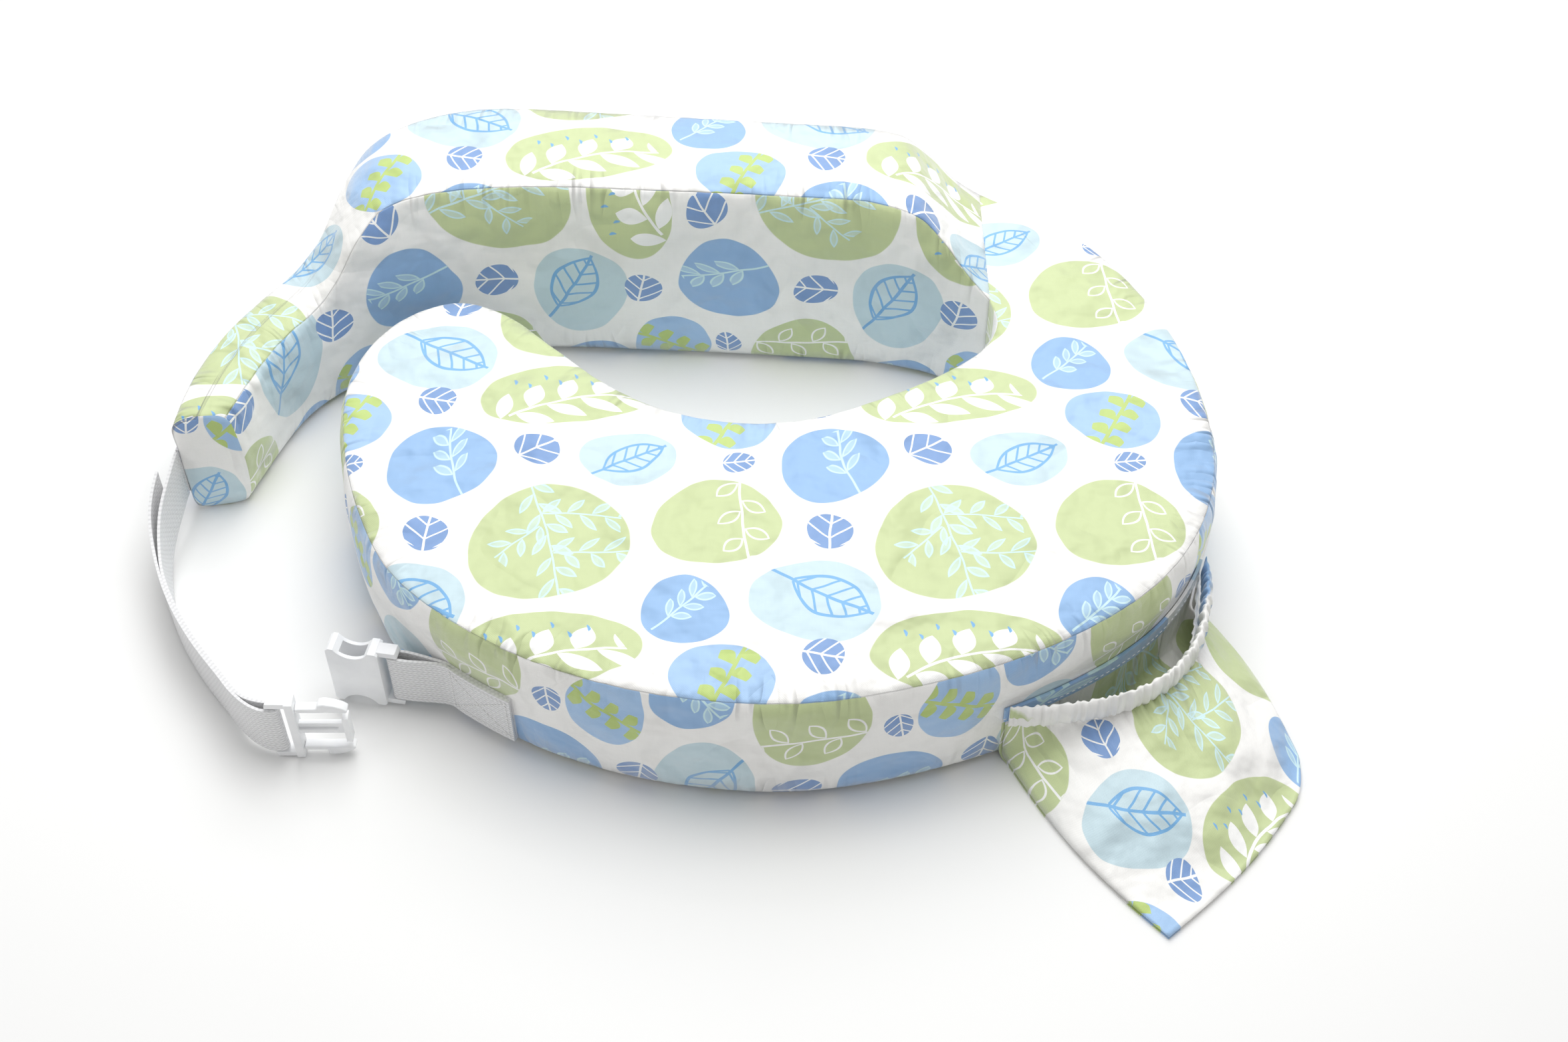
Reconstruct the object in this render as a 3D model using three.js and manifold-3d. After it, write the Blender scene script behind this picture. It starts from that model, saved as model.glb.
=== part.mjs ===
// Nursing pillow: a flat foam shelf that wraps the wearer's waist, a taller foam backrest
// that closes the ring behind them, a removable cover, a buckled strap and a side pocket.
// Millimetres, +Z up. The pillow lies on its underside.
import * as THREE from 'three';
import { mergeVertices } from 'three/addons/utils/BufferGeometryUtils.js';
import Module from 'manifold-3d';

const wasm = await Module();
wasm.setup();

// ---- driving dimensions ----
const cushionWidth = 651; // left arm to right side of the shelf
const cushionDepth = 466; // shelf's front to the back of the backrest
const shelfHeight = 90;
const backrestHeight = 148;
const armHeight = 82; // the low left end of the backrest
const cloth = 1.0; // cover fabric with its backing
const gap = 0.3; // air left between pieces that touch
const webbingWidth = 38;
const webbingThick = 1.5;
const buckleRim = 6; // how far each buckle half reaches past the webbing's edge
const strapTailGap = 8; // how far the loose tail stands off the strap
const pocketDepth = 150; // mouth to bottom edge
const pocketMouthOpen = 26; // how far the elastic edge stands off the shelf

// ---- sizes that follow from them ----
const skin = cloth + gap; // cover fabric and the air behind it
const jointX = planPoint(135, 0).x; // where the shelf ends and the backrest begins
const barRadius = 2.2; // round bars the webbing turns about
const turnRadius = barRadius + 0.35 + webbingThick / 2;
const buckleWidth = webbingWidth + 2 * buckleRim;
const cheek = buckleRim - 2; // side cheeks of both buckle halves
const socketInside = buckleWidth / 2 - 4.5; // half width of the space for the prongs
const tabHeight = buckleWidth / 2 + 1.1; // centre of the short webbing on the shelf's wall
const pocketTop = shelfHeight * 0.52;

// ---- materials ----
function material(color, roughness, metalness = 0) {
  return new THREE.MeshStandardMaterial({ color, roughness, metalness });
}
const printedCotton = () => material(0xdfe9d6, 0.9);
const foamYellow = () => material(0xf3ecd2, 0.95);
const whiteWebbing = () => material(0xf4f4f2, 0.8);
const whitePlastic = () => material(0xf7f7f7, 0.35);
const whiteThread = () => material(0xffffff, 0.85);
const zipTapeCloth = () => material(0xf0f0ec, 0.85);
const zipNylon = () => material(0xe8e8e4, 0.5);
const zipMetal = () => material(0xc9c9cc, 0.35, 0.9);
const satinLabel = () => material(0xfbfbf7, 0.6);

// ---- small geometry helpers ----
function planPoint(x, y) {
  return new THREE.Vector2((x * cushionWidth) / 651, (y * cushionDepth) / 466);
}

function geometryFrom(points, triangles) {
  const geometry = new THREE.BufferGeometry();
  geometry.setAttribute('position', new THREE.Float32BufferAttribute(points.flatMap((p) => [p.x, p.y, p.z]), 3));
  geometry.setIndex(triangles);
  return outward(geometry);
}

// Turns every face outward when the solid was wound the other way.
function outward(geometry) {
  const p = geometry.attributes.position;
  const index = geometry.index.array;
  const corner = [0, 1, 2].map(() => new THREE.Vector3());
  let volume = 0;
  for (let i = 0; i < index.length; i += 3) {
    corner.forEach((c, k) => c.fromBufferAttribute(p, index[i + k]));
    volume += corner[0].dot(corner[1].clone().cross(corner[2]));
  }
  if (volume < 0) {
    for (let i = 0; i < index.length; i += 3) [index[i], index[i + 1]] = [index[i + 1], index[i]];
  }
  geometry.computeVertexNormals();
  return geometry;
}

// A solid swept through a list of rings that all have the same number of corners.
function sweep(rings) {
  const n = rings[0].length;
  const triangles = [];
  for (let i = 0; i + 1 < rings.length; i++) {
    for (let k = 0; k < n; k++) {
      const a = i * n + k;
      const b = i * n + ((k + 1) % n);
      triangles.push(a, b, b + n, a, b + n, a + n);
    }
  }
  const last = (rings.length - 1) * n;
  for (let k = 1; k + 1 < n; k++) triangles.push(0, k + 1, k, last, last + k, last + k + 1);
  return geometryFrom(rings.flat(), triangles);
}

// A cloth of even thickness laid on a grid of points.
function sheet(grid, thickness) {
  const rows = grid.length;
  const columns = grid[0].length;
  const at = (r, c) => grid[Math.min(Math.max(r, 0), rows - 1)][Math.min(Math.max(c, 0), columns - 1)];
  const lower = [];
  const upper = [];
  for (let r = 0; r < rows; r++) {
    for (let c = 0; c < columns; c++) {
      const along = at(r, c + 1).clone().sub(at(r, c - 1));
      const across = at(r + 1, c).clone().sub(at(r - 1, c));
      const normal = along.cross(across).normalize();
      lower.push(at(r, c).clone());
      upper.push(at(r, c).clone().addScaledVector(normal, thickness));
    }
  }
  const n = rows * columns;
  const id = (r, c) => r * columns + c;
  const triangles = [];
  for (let r = 0; r + 1 < rows; r++) {
    for (let c = 0; c + 1 < columns; c++) {
      const [a, b, d, e] = [id(r, c), id(r, c + 1), id(r + 1, c + 1), id(r + 1, c)];
      triangles.push(a, d, b, a, e, d, n + a, n + b, n + d, n + a, n + d, n + e);
    }
  }
  const edge = [];
  for (let c = 0; c + 1 < columns; c++) edge.push([id(0, c), id(0, c + 1)], [id(rows - 1, c + 1), id(rows - 1, c)]);
  for (let r = 0; r + 1 < rows; r++) edge.push([id(r + 1, 0), id(r, 0)], [id(r, columns - 1), id(r + 1, columns - 1)]);
  for (const [a, b] of edge) triangles.push(a, b, n + b, a, n + b, n + a);
  return geometryFrom([...lower, ...upper], triangles);
}

// Left-hand normals of a path in plan, lengthened at bends so an offset keeps its width.
function pathNormals(path, endDirection) {
  return path.map((point, i) => {
    const before = i > 0 ? point.clone().sub(path[i - 1]).normalize() : null;
    const after = i + 1 < path.length ? path[i + 1].clone().sub(point).normalize() : null;
    const tangent = (before ?? after).clone().add(after ?? before).normalize();
    const normal = new THREE.Vector2(-tangent.y, tangent.x);
    if (endDirection && !(before && after)) return endDirection.clone().divideScalar(endDirection.dot(normal));
    const side = after ?? before;
    return normal.divideScalar(Math.max(0.5, normal.dot(new THREE.Vector2(-side.y, side.x))));
  });
}

function offsetPath(path, distance, endDirection) {
  const normals = pathNormals(path, endDirection);
  return path.map((point, i) => point.clone().addScaledVector(normals[i], distance));
}

// An upright strip of fabric or webbing between two distances from a path.
function strip(path, from, to, zLow, zHigh, endDirection) {
  const low = (i) => (typeof zLow === 'number' ? zLow : zLow[i]);
  const high = (i) => (typeof zHigh === 'number' ? zHigh : zHigh[i]);
  const near = offsetPath(path, from, endDirection);
  const far = offsetPath(path, to, endDirection);
  return sweep(path.map((_, i) => [
    new THREE.Vector3(near[i].x, near[i].y, low(i)),
    new THREE.Vector3(far[i].x, far[i].y, low(i)),
    new THREE.Vector3(far[i].x, far[i].y, high(i)),
    new THREE.Vector3(near[i].x, near[i].y, high(i)),
  ]));
}

function plate(outline, zLow, zHigh, holes = []) {
  const shape = new THREE.Shape(outline);
  for (const hole of holes) shape.holes.push(new THREE.Path(hole));
  const geometry = new THREE.ExtrudeGeometry(shape, { depth: zHigh - zLow, bevelEnabled: false });
  return geometry.translate(0, 0, zLow);
}

function curve2(points, count) {
  const line = new THREE.CatmullRomCurve3(points.map((p) => new THREE.Vector3(p.x, p.y, 0)), false, 'centripetal');
  return line.getSpacedPoints(count).map((p) => new THREE.Vector2(p.x, p.y));
}

function pathLength(path) {
  return path.slice(1).reduce((sum, p, i) => sum + p.distanceTo(path[i]), 0);
}

// Point on a path at a distance from its start.
function pointAt(path, distance) {
  let left = distance;
  for (let i = 1; i < path.length; i++) {
    const step = path[i].distanceTo(path[i - 1]);
    if (left <= step || i === path.length - 1) return path[i - 1].clone().lerp(path[i], left / step);
    left -= step;
  }
  return path[0].clone();
}

// The stretch of a path between two distances from its start.
function stretch(path, from, to, count) {
  return Array.from({ length: count + 1 }, (_, i) => pointAt(path, from + ((to - from) * i) / count));
}

// ---- joining and cutting ----
function asManifold(geometry) {
  const bare = new THREE.BufferGeometry();
  const source = geometry.index ? geometry.toNonIndexed() : geometry;
  bare.setAttribute('position', source.attributes.position.clone());
  const welded = mergeVertices(bare, 1e-4);
  return new wasm.Manifold(new wasm.Mesh({
    numProp: 3,
    vertProperties: new Float32Array(welded.attributes.position.array),
    triVerts: new Uint32Array(welded.index.array),
  }));
}

function fromManifold(solid) {
  const mesh = solid.getMesh();
  const geometry = new THREE.BufferGeometry();
  const points = [];
  for (let i = 0; i < mesh.vertProperties.length; i += mesh.numProp) {
    points.push(mesh.vertProperties[i], mesh.vertProperties[i + 1], mesh.vertProperties[i + 2]);
  }
  geometry.setAttribute('position', new THREE.Float32BufferAttribute(points, 3));
  geometry.setIndex(Array.from(mesh.triVerts));
  geometry.computeVertexNormals();
  return geometry;
}

function joined(...geometries) {
  return fromManifold(geometries.map(asManifold).reduce((a, b) => a.add(b)));
}

function cut(geometry, ...tools) {
  return fromManifold(tools.map(asManifold).reduce((a, b) => a.subtract(b), asManifold(geometry)));
}

function block(xLow, xHigh, yLow, yHigh, zLow, zHigh) {
  return new THREE.BoxGeometry(xHigh - xLow, yHigh - yLow, zHigh - zLow)
    .translate((xLow + xHigh) / 2, (yLow + yHigh) / 2, (zLow + zHigh) / 2);
}

// A shape drawn in X and Z and given a thickness along Y, centred on Y = 0.
function uprightPlate(outline, thickness, holes = []) {
  return plate(outline, -thickness / 2, thickness / 2, holes).rotateX(Math.PI / 2);
}

function uprightBar(radius, height) {
  return new THREE.CylinderGeometry(radius, radius, height, 16).rotateX(Math.PI / 2);
}

function named(name, geometry, surface) {
  const mesh = new THREE.Mesh(geometry, surface);
  mesh.name = name;
  return mesh;
}

// ---- plan outlines ----
// The shelf's edge from the backrest joint, clockwise past the front to the lobe's tip and
// back along the wearer's side.
const lobeTip = planPoint(-215, 197);
const shelfEdge = curve2([
  [135.25, 305], [169, 286], [205, 256], [237, 205], [257, 150], [266, 90], [264, 42], [247, -8],
  [216, -50], [160, -90], [90, -119], [10, -135], [-70, -129], [-141, -106], [-195, -73],
  [-232, -38], [-256, 8], [-272, 60], [-278, 112], [-269, 153], [-247, 183], [-215, 197],
  [-183, 186], [-148, 154], [-113, 121], [-76, 98], [-30, 86], [15, 89],
  [60, 107], [104, 132], [129, 154], [139, 176], [135.25, 195],
].map(([x, y]) => planPoint(x, y)), 132);
const tipIndex = shelfEdge.reduce((best, p, i) =>
  (p.distanceTo(lobeTip) < shelfEdge[best].distanceTo(lobeTip) ? i : best), 0);
const shelfOuterEdge = shelfEdge.slice(0, tipIndex + 1);
const alongJoint = new THREE.Vector2(0, 1);

// Backrest stations from the joint round the back to the low left end:
// inner x, y and outer x, y, then the height as a share of the climb from the end to the top.
const backrestStations = [
  [134.75, 195, 134.75, 305, null], [121, 206, 118, 307, 103], [105, 214, 100, 308, 124],
  [88, 220, 82, 308, 141], [60, 227, 62, 308, 147], [45, 229, 45, 309.6, 148],
  [10, 232, 10, 312.8, 148], [-40, 236, -40, 317.4, 148], [-90, 239, -90, 322, 148],
  [-140, 242, -140, 326.6, 148], [-180, 242, -167, 329, 148], [-212, 239, -205, 329, 148],
  [-240, 233, -246, 318, 147], [-262, 225, -278, 298, 142], [-280, 215, -299, 272, 122],
  [-294, 205, -313, 251, 99], [-308, 193, -330, 233, 85], [-321, 177, -349, 208, 82],
  [-331, 157, -366, 177, 82], [-339, 135, -378, 143, 82], [-346, 114, -384, 114, 81],
  [-351, 99, -386, 92, 80],
];

function backrestHeightAt(nominal) {
  if (nominal === null) return shelfHeight;
  const share = (nominal - 82) / (148 - 82);
  return armHeight + share * (backrestHeight - armHeight);
}

// The first three heights climb from the shelf instead of from the arm.
const rampShares = [0, 0.22, 0.59, 0.88];
function stationHeight(i) {
  if (i < rampShares.length) return shelfHeight + rampShares[i] * (backrestHeight - shelfHeight);
  return backrestHeightAt(backrestStations[i][4]);
}

function sampledStations(count) {
  const lines = [[0, 1], [2, 3]].map(([a, b]) => new THREE.CatmullRomCurve3(backrestStations.map((s, i) => {
    const p = planPoint(s[a], s[b]);
    return new THREE.Vector3(p.x, p.y, stationHeight(i));
  }), false, 'centripetal'));
  return Array.from({ length: count + 1 }, (_, i) => ({
    inner: lines[0].getPoint(i / count),
    outer: lines[1].getPoint(i / count),
  }));
}
const stations = sampledStations(84);

// A ring across the backrest between two distances in from its faces.
function acrossBackrest(station, fromInner, fromOuter, zLow, below) {
  const inner = new THREE.Vector2(station.inner.x, station.inner.y);
  const outer = new THREE.Vector2(station.outer.x, station.outer.y);
  const direction = outer.clone().sub(inner).normalize();
  const a = inner.clone().addScaledVector(direction, fromInner);
  const b = fromOuter === null
    ? inner.clone().addScaledVector(direction, fromInner + cloth)
    : outer.clone().addScaledVector(direction, -fromOuter);
  const top = Math.min(station.inner.z, station.outer.z) - below;
  return [
    new THREE.Vector3(a.x, a.y, zLow), new THREE.Vector3(b.x, b.y, zLow),
    new THREE.Vector3(b.x, b.y, top), new THREE.Vector3(a.x, a.y, top),
  ];
}

// ---- shelf ----
function shelfPieces() {
  const foamOutline = offsetPath(shelfEdge, -skin, alongJoint);
  const inside = offsetPath(shelfEdge, -cloth, alongJoint);
  const rings = shelfEdge.map((p, i) => [
    new THREE.Vector3(inside[i].x, inside[i].y, skin), new THREE.Vector3(p.x, p.y, skin),
    new THREE.Vector3(p.x, p.y, shelfHeight - skin), new THREE.Vector3(inside[i].x, inside[i].y, shelfHeight - skin),
  ]);
  // The two walls meet in a seam at the lobe's tip.
  const ahead = shelfEdge[tipIndex + 1].clone().sub(shelfEdge[tipIndex - 1]).normalize();
  const moved = (distance) => rings[tipIndex].map((p) =>
    p.clone().add(new THREE.Vector3(ahead.x * distance, ahead.y * distance, 0)));
  return [
    named('shelf_foam', plate(foamOutline, skin, shelfHeight - skin), foamYellow()),
    named('shelf_top_panel', plate(shelfEdge, shelfHeight - cloth, shelfHeight), printedCotton()),
    named('shelf_base_panel', plate(shelfEdge, 0, cloth), printedCotton()),
    named('shelf_outer_wall', sweep([...rings.slice(0, tipIndex), moved(-gap / 2)]), printedCotton()),
    named('shelf_torso_wall', sweep([moved(gap / 2), ...rings.slice(tipIndex + 1)]), printedCotton()),
  ];
}

// ---- backrest ----
function backrestPieces() {
  const base = [...stations.map((s) => new THREE.Vector2(s.inner.x, s.inner.y)),
    ...stations.map((s) => new THREE.Vector2(s.outer.x, s.outer.y)).reverse()];
  return [
    named('backrest_foam', sweep(stations.map((s) => acrossBackrest(s, skin, skin, skin, skin + gap))), foamYellow()),
    named('backrest_base_panel', plate(base, 0, cloth), printedCotton()),
    named('backrest_top_panel', sweep(stations.map((s) => {
      const ring = acrossBackrest(s, 0, 0, 0, 0);
      return [ring[3].clone().setZ(ring[3].z - cloth), ring[2].clone().setZ(ring[2].z - cloth), ring[2], ring[3]];
    })), printedCotton()),
    named('backrest_inner_wall', sweep(stations.map((s) => acrossBackrest(s, 0, null, skin, skin))), printedCotton()),
    named('backrest_outer_wall', sweep(stations.map((s) => {
      const ring = acrossBackrest(s, 0, 0, skin, skin);
      const inside = acrossBackrest(s, 0, cloth, skin, skin);
      return [inside[1], ring[1], ring[2], inside[2]];
    })), printedCotton()),
    named('backrest_end_panel', endPanel(), printedCotton()),
  ];
}

function endPanel() {
  const end = stations[stations.length - 1];
  const inner = new THREE.Vector2(end.inner.x, end.inner.y);
  const outer = new THREE.Vector2(end.outer.x, end.outer.y);
  const across = outer.clone().sub(inner).normalize();
  const away = new THREE.Vector2(across.y, -across.x).multiplyScalar(-1);
  if (away.y > 0) away.multiplyScalar(-1);
  const steps = 8;
  const top = Math.min(end.inner.z, end.outer.z);
  return sweep(Array.from({ length: steps + 1 }, (_, i) => {
    const share = i / steps;
    const bulge = gap + 2.5 * Math.sin(Math.PI * share);
    const back = inner.clone().lerp(outer, share).addScaledVector(away, bulge);
    const front = back.clone().addScaledVector(away, cloth);
    return [
      new THREE.Vector3(back.x, back.y, skin), new THREE.Vector3(front.x, front.y, skin),
      new THREE.Vector3(front.x, front.y, top), new THREE.Vector3(back.x, back.y, top),
    ];
  }));
}

// ---- webbing strap ----
const outerLine = stations.map((s) => new THREE.Vector2(s.outer.x, s.outer.y));
const strapRoot = outerLine[outerLine.length - 1];
const strapStandOff = gap + webbingThick / 2;
const strapSewnLength = 26;
const strapRootHeight = armHeight * 0.44;
const plugBar = planPoint(-296, -103); // bar of the plug half
const plugHeight = buckleWidth / 2 + 0.3;

// The left-hand side of a path that runs towards the strap's end faces outward there.
function sewnStrapPath() {
  const whole = pathLength(outerLine);
  const onWall = stretch(outerLine, whole - strapSewnLength, whole, 8);
  return offsetPath(onWall, -strapStandOff);
}

function strapPath() {
  const sewn = sewnStrapPath();
  const last = sewn[sewn.length - 1];
  const heading = last.clone().sub(sewn[sewn.length - 2]).normalize();
  const start = last.clone().addScaledVector(heading, 1.6);
  const run = curve2([
    start, start.clone().addScaledVector(heading, 14), planPoint(-391, 45), planPoint(-385, 12),
    planPoint(-373, -16), planPoint(-355, -45), planPoint(-334, -72),
    plugBar.clone().add(new THREE.Vector2(-20, turnRadius + 6)),
    plugBar.clone().add(new THREE.Vector2(-7, turnRadius + 0.4)),
    plugBar.clone().add(new THREE.Vector2(0, turnRadius)),
  ], 44);
  return { start, heading, run };
}

function strapPieces() {
  const { run } = strapPath();
  const total = pathLength(run);
  // The tail lies outside the run and stands further off towards its free end.
  const normals = pathNormals(run);
  const tail = [];
  let walked = 0;
  run.forEach((p, i) => {
    if (i > 0) walked += p.distanceTo(run[i - 1]);
    const left = 1 - walked / total;
    const off = 2 * turnRadius + (strapTailGap - 2 * turnRadius + webbingThick) * Math.min(1, left * 2.2);
    const swell = 3 * Math.sin(Math.PI * Math.min(1, Math.max(0, left)));
    if (walked > 14) tail.push({ p: p.clone().addScaledVector(normals[i], -(off + swell)), at: walked });
  });
  const turn = Array.from({ length: 9 }, (_, k) => {
    const angle = Math.PI / 2 - (Math.PI * (k + 1)) / 10;
    return new THREE.Vector2(Math.cos(angle), Math.sin(angle)).multiplyScalar(turnRadius).add(plugBar);
  });
  tail[tail.length - 1].p.copy(plugBar).add(new THREE.Vector2(0, -turnRadius));
  const path = [...run, ...turn, ...tail.map((t) => t.p).reverse()];
  const centre = (at) => {
    const floor = webbingWidth / 2 + 0.6;
    const drop = Math.max(0, 1 - at / 75);
    const lift = Math.max(0, 1 - (total - at) / 60);
    const ease = (x) => x * x * (3 - 2 * x);
    return floor + (strapRootHeight - floor) * ease(drop) + (plugHeight - floor) * ease(lift);
  };
  let s = 0;
  const heights = [
    ...run.map((p, i) => { if (i > 0) s += p.distanceTo(run[i - 1]); return centre(s); }),
    ...turn.map(() => plugHeight),
    ...tail.map((t) => centre(t.at)).reverse(),
  ];
  const low = heights.map((h) => h - webbingWidth / 2);
  const high = heights.map((h) => h + webbingWidth / 2);
  const sewn = sewnStrapPath();
  return [
    named('strap_sewn_end', strip(sewn, -webbingThick / 2, webbingThick / 2,
      strapRootHeight - webbingWidth / 2, strapRootHeight + webbingWidth / 2), whiteWebbing()),
    named('strap_webbing', strip(path, -webbingThick / 2, webbingThick / 2, low, high), whiteWebbing()),
    named('strap_sewn_stitching', boxStitch(offsetPath(sewn, -webbingThick / 2 - gap), 3, strapSewnLength - 3,
      strapRootHeight, -1), whiteThread()),
  ];
}

// A sewn square with a cross inside it, bent to lie on a path.
function boxStitch(path, from, to, height, side) {
  const thread = 0.9;
  const thick = 0.35;
  const half = webbingWidth / 2 - 3.5;
  const w = to - from;
  const fine = (points) => points.flatMap((p, i) => {
    const next = points[(i + 1) % points.length];
    const steps = Math.max(1, Math.ceil(p.distanceTo(next) / 5));
    return Array.from({ length: steps }, (_, k) => p.clone().lerp(next, k / steps));
  });
  const v = (x, y) => new THREE.Vector2(x, y);
  const outline = fine([v(0, -half), v(w, -half), v(w, half), v(0, half)]);
  const t = thread;
  const d = thread * 0.75;
  const holes = [
    [v(t + d, -half + t), v(w - t - d, -half + t), v(w / 2, -d * 1.3)],
    [v(t + d, half - t), v(w / 2, d * 1.3), v(w - t - d, half - t)],
    [v(t, -half + t + d * 1.4), v(w / 2 - d, 0), v(t, half - t - d * 1.4)],
    [v(w - t, -half + t + d * 1.4), v(w - t, half - t - d * 1.4), v(w / 2 + d, 0)],
  ].map(fine);
  const geometry = plate(outline, 0, thick, holes);
  const p = geometry.attributes.position;
  for (let i = 0; i < p.count; i++) {
    const along = from + p.getX(i);
    const base = pointAt(path, along);
    const ahead = pointAt(path, along + 0.5);
    const behind = pointAt(path, along - 0.5 > 0 ? along - 0.5 : 0);
    const tangent = ahead.sub(behind).normalize();
    const off = p.getZ(i) * side;
    p.setXYZ(i, base.x - tangent.y * off, base.y + tangent.x * off, height + p.getY(i));
  }
  const welded = mergeVertices(stripped(geometry), 1e-4);
  return outward(welded);
}

function stripped(geometry) {
  const bare = new THREE.BufferGeometry();
  bare.setAttribute('position', (geometry.index ? geometry.toNonIndexed() : geometry).attributes.position);
  return bare;
}

// ---- buckle, plug half ----
// Drawn with its bar at the origin and its prongs along +X, lying on edge.
const plugThick = 7.2;
const plugReach = 44;
const plugNeck = 13;

function plugFrame() {
  const w = buckleWidth / 2;
  const inside = w - cheek;
  const neck = block(8, plugNeck, -plugThick / 2 - 1, plugThick / 2 + 1, -w, w);
  const cheeks = [-1, 1].map((s) => uprightPlate([
    new THREE.Vector2(-4, s * inside), new THREE.Vector2(-3, s * w), new THREE.Vector2(9, s * w),
    new THREE.Vector2(9, s * inside),
  ], plugThick));
  const bar = uprightBar(barRadius, 2 * inside + 1);
  const tongue = block(plugNeck - 1, 41, -1.8, 1.8, -4.5, 4.5);
  const rib = block(plugNeck - 1, 36, -plugThick / 2, plugThick / 2, -1, 1);
  const crossEnd = block(39.5, 43, -plugThick / 2, plugThick / 2, -11, 11);
  return joined(neck, ...cheeks, bar, tongue, rib, crossEnd);
}

function plugProng(side) {
  const outline = [
    [plugNeck + gap, 16.3], [plugNeck + gap, 19.6], [26.5, 19.6], [27, 23.2], [30.5, 24], [36, 22.8],
    [41, 20.4], [plugReach, 17.6], [plugReach - 1, 16], [31, 16.6], [27, 16.3],
  ].map(([x, z]) => new THREE.Vector2(x, side * (z + buckleWidth / 2 - 25)));
  return uprightPlate(outline, plugThick - 0.6);
}

// ---- buckle, socket half ----
const socketBar = planPoint(-231, -65.5);
const socketTurn = THREE.MathUtils.degToRad(170); // its mouth points this way
const socketMouth = 39;
const socketBack = 7;

function socketBody() {
  const w = buckleWidth / 2 - 1;
  const inside = w - cheek;
  const thick = 13;
  const shell = uprightPlate([
    [socketBack, -w + 1.5], [socketBack + 1.5, -w], [socketMouth - 2, -w], [socketMouth, -w + 2],
    [socketMouth, w - 2], [socketMouth - 2, w], [socketBack + 1.5, w], [socketBack, w - 1.5],
  ].map(([x, z]) => new THREE.Vector2(x, z)), thick);
  const cheeks = [-1, 1].map((s) => uprightPlate([
    new THREE.Vector2(-4, s * inside), new THREE.Vector2(-3, s * w),
    new THREE.Vector2(socketBack + 1, s * w), new THREE.Vector2(socketBack + 1, s * inside),
  ], 8));
  const bar = uprightBar(barRadius, 2 * inside + 1);
  const pocket = block(socketBack + 3, socketMouth + 5, -plugThick / 2 - 0.6, plugThick / 2 + 0.6,
    -socketInside, socketInside);
  const thumbs = [-1, 1].map((s) => new THREE.CylinderGeometry(12, 12, thick + 2, 28)
    .translate(23.5, 0, s * (w + 5.5)));
  return cut(joined(shell, ...cheeks, bar), pocket, ...thumbs);
}

// ---- short webbing that holds the socket half ----
function tabPath() {
  const onWall = shelfOuterEdge.filter((p) => p.x < planPoint(-157, 0).x && p.x > planPoint(-199, 0).x && p.y < 0);
  const sewn = offsetPath(onWall, gap + webbingThick / 2);
  const away = new THREE.Vector2(Math.cos(socketTurn), Math.sin(socketTurn));
  const aside = new THREE.Vector2(-away.y, away.x); // towards the viewer's side of the socket
  const near = socketBar.clone().addScaledVector(aside, -turnRadius);
  const far = socketBar.clone().addScaledVector(aside, turnRadius);
  const toBar = curve2([...sewn, near.clone().addScaledVector(away, -9), near], 34);
  const turn = Array.from({ length: 9 }, (_, k) => {
    const angle = socketTurn - Math.PI / 2 + (Math.PI * (k + 1)) / 10;
    return new THREE.Vector2(Math.cos(angle), Math.sin(angle)).multiplyScalar(turnRadius).add(socketBar);
  });
  const outerSewn = offsetPath(sewn, webbingThick + 0.4);
  const back = curve2([far, far.clone().addScaledVector(away, -9), ...outerSewn.slice().reverse()], 34);
  return { path: [...toBar, ...turn, ...back], outerLayer: back.slice().reverse(), sewnLength: pathLength(outerSewn) };
}

function tabPieces() {
  const { path, outerLayer, sewnLength } = tabPath();
  return [
    named('buckle_tab_webbing', strip(path, -webbingThick / 2, webbingThick / 2,
      tabHeight - webbingWidth / 2, tabHeight + webbingWidth / 2), whiteWebbing()),
    named('buckle_tab_stitching', boxStitch(offsetPath(outerLayer, webbingThick / 2 + 2.6 * gap), 3,
      sewnLength - 4, tabHeight, 1), whiteThread()),
  ];
}

function buckleHalves() {
  const plug = new THREE.Group();
  plug.add(named('buckle_plug_frame', plugFrame(), whitePlastic()));
  plug.add(named('buckle_upper_prong', plugProng(1), whitePlastic()));
  plug.add(named('buckle_lower_prong', plugProng(-1), whitePlastic()));
  plug.position.set(plugBar.x, plugBar.y, plugHeight);
  const socket = named('buckle_socket', socketBody(), whitePlastic());
  socket.position.set(socketBar.x, socketBar.y, tabHeight);
  socket.rotation.z = socketTurn;
  return [plug, socket];
}

// ---- pocket ----
const pocketColumns = 28;
const pocketRows = 22;

function pocketPath() {
  const right = planPoint(255, 8);
  const left = planPoint(127, -108);
  const nearest = (target) => shelfOuterEdge.reduce((best, p, i) =>
    (p.distanceTo(target) < shelfOuterEdge[best].distanceTo(target) ? i : best), 0);
  const [a, b] = [nearest(right), nearest(left)];
  const onWall = shelfOuterEdge.slice(a, b + 1).reverse();
  return stretch(offsetPath(onWall, -gap - 0.4), 0, pathLength(onWall) * 1.01, pocketColumns);
}

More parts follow.
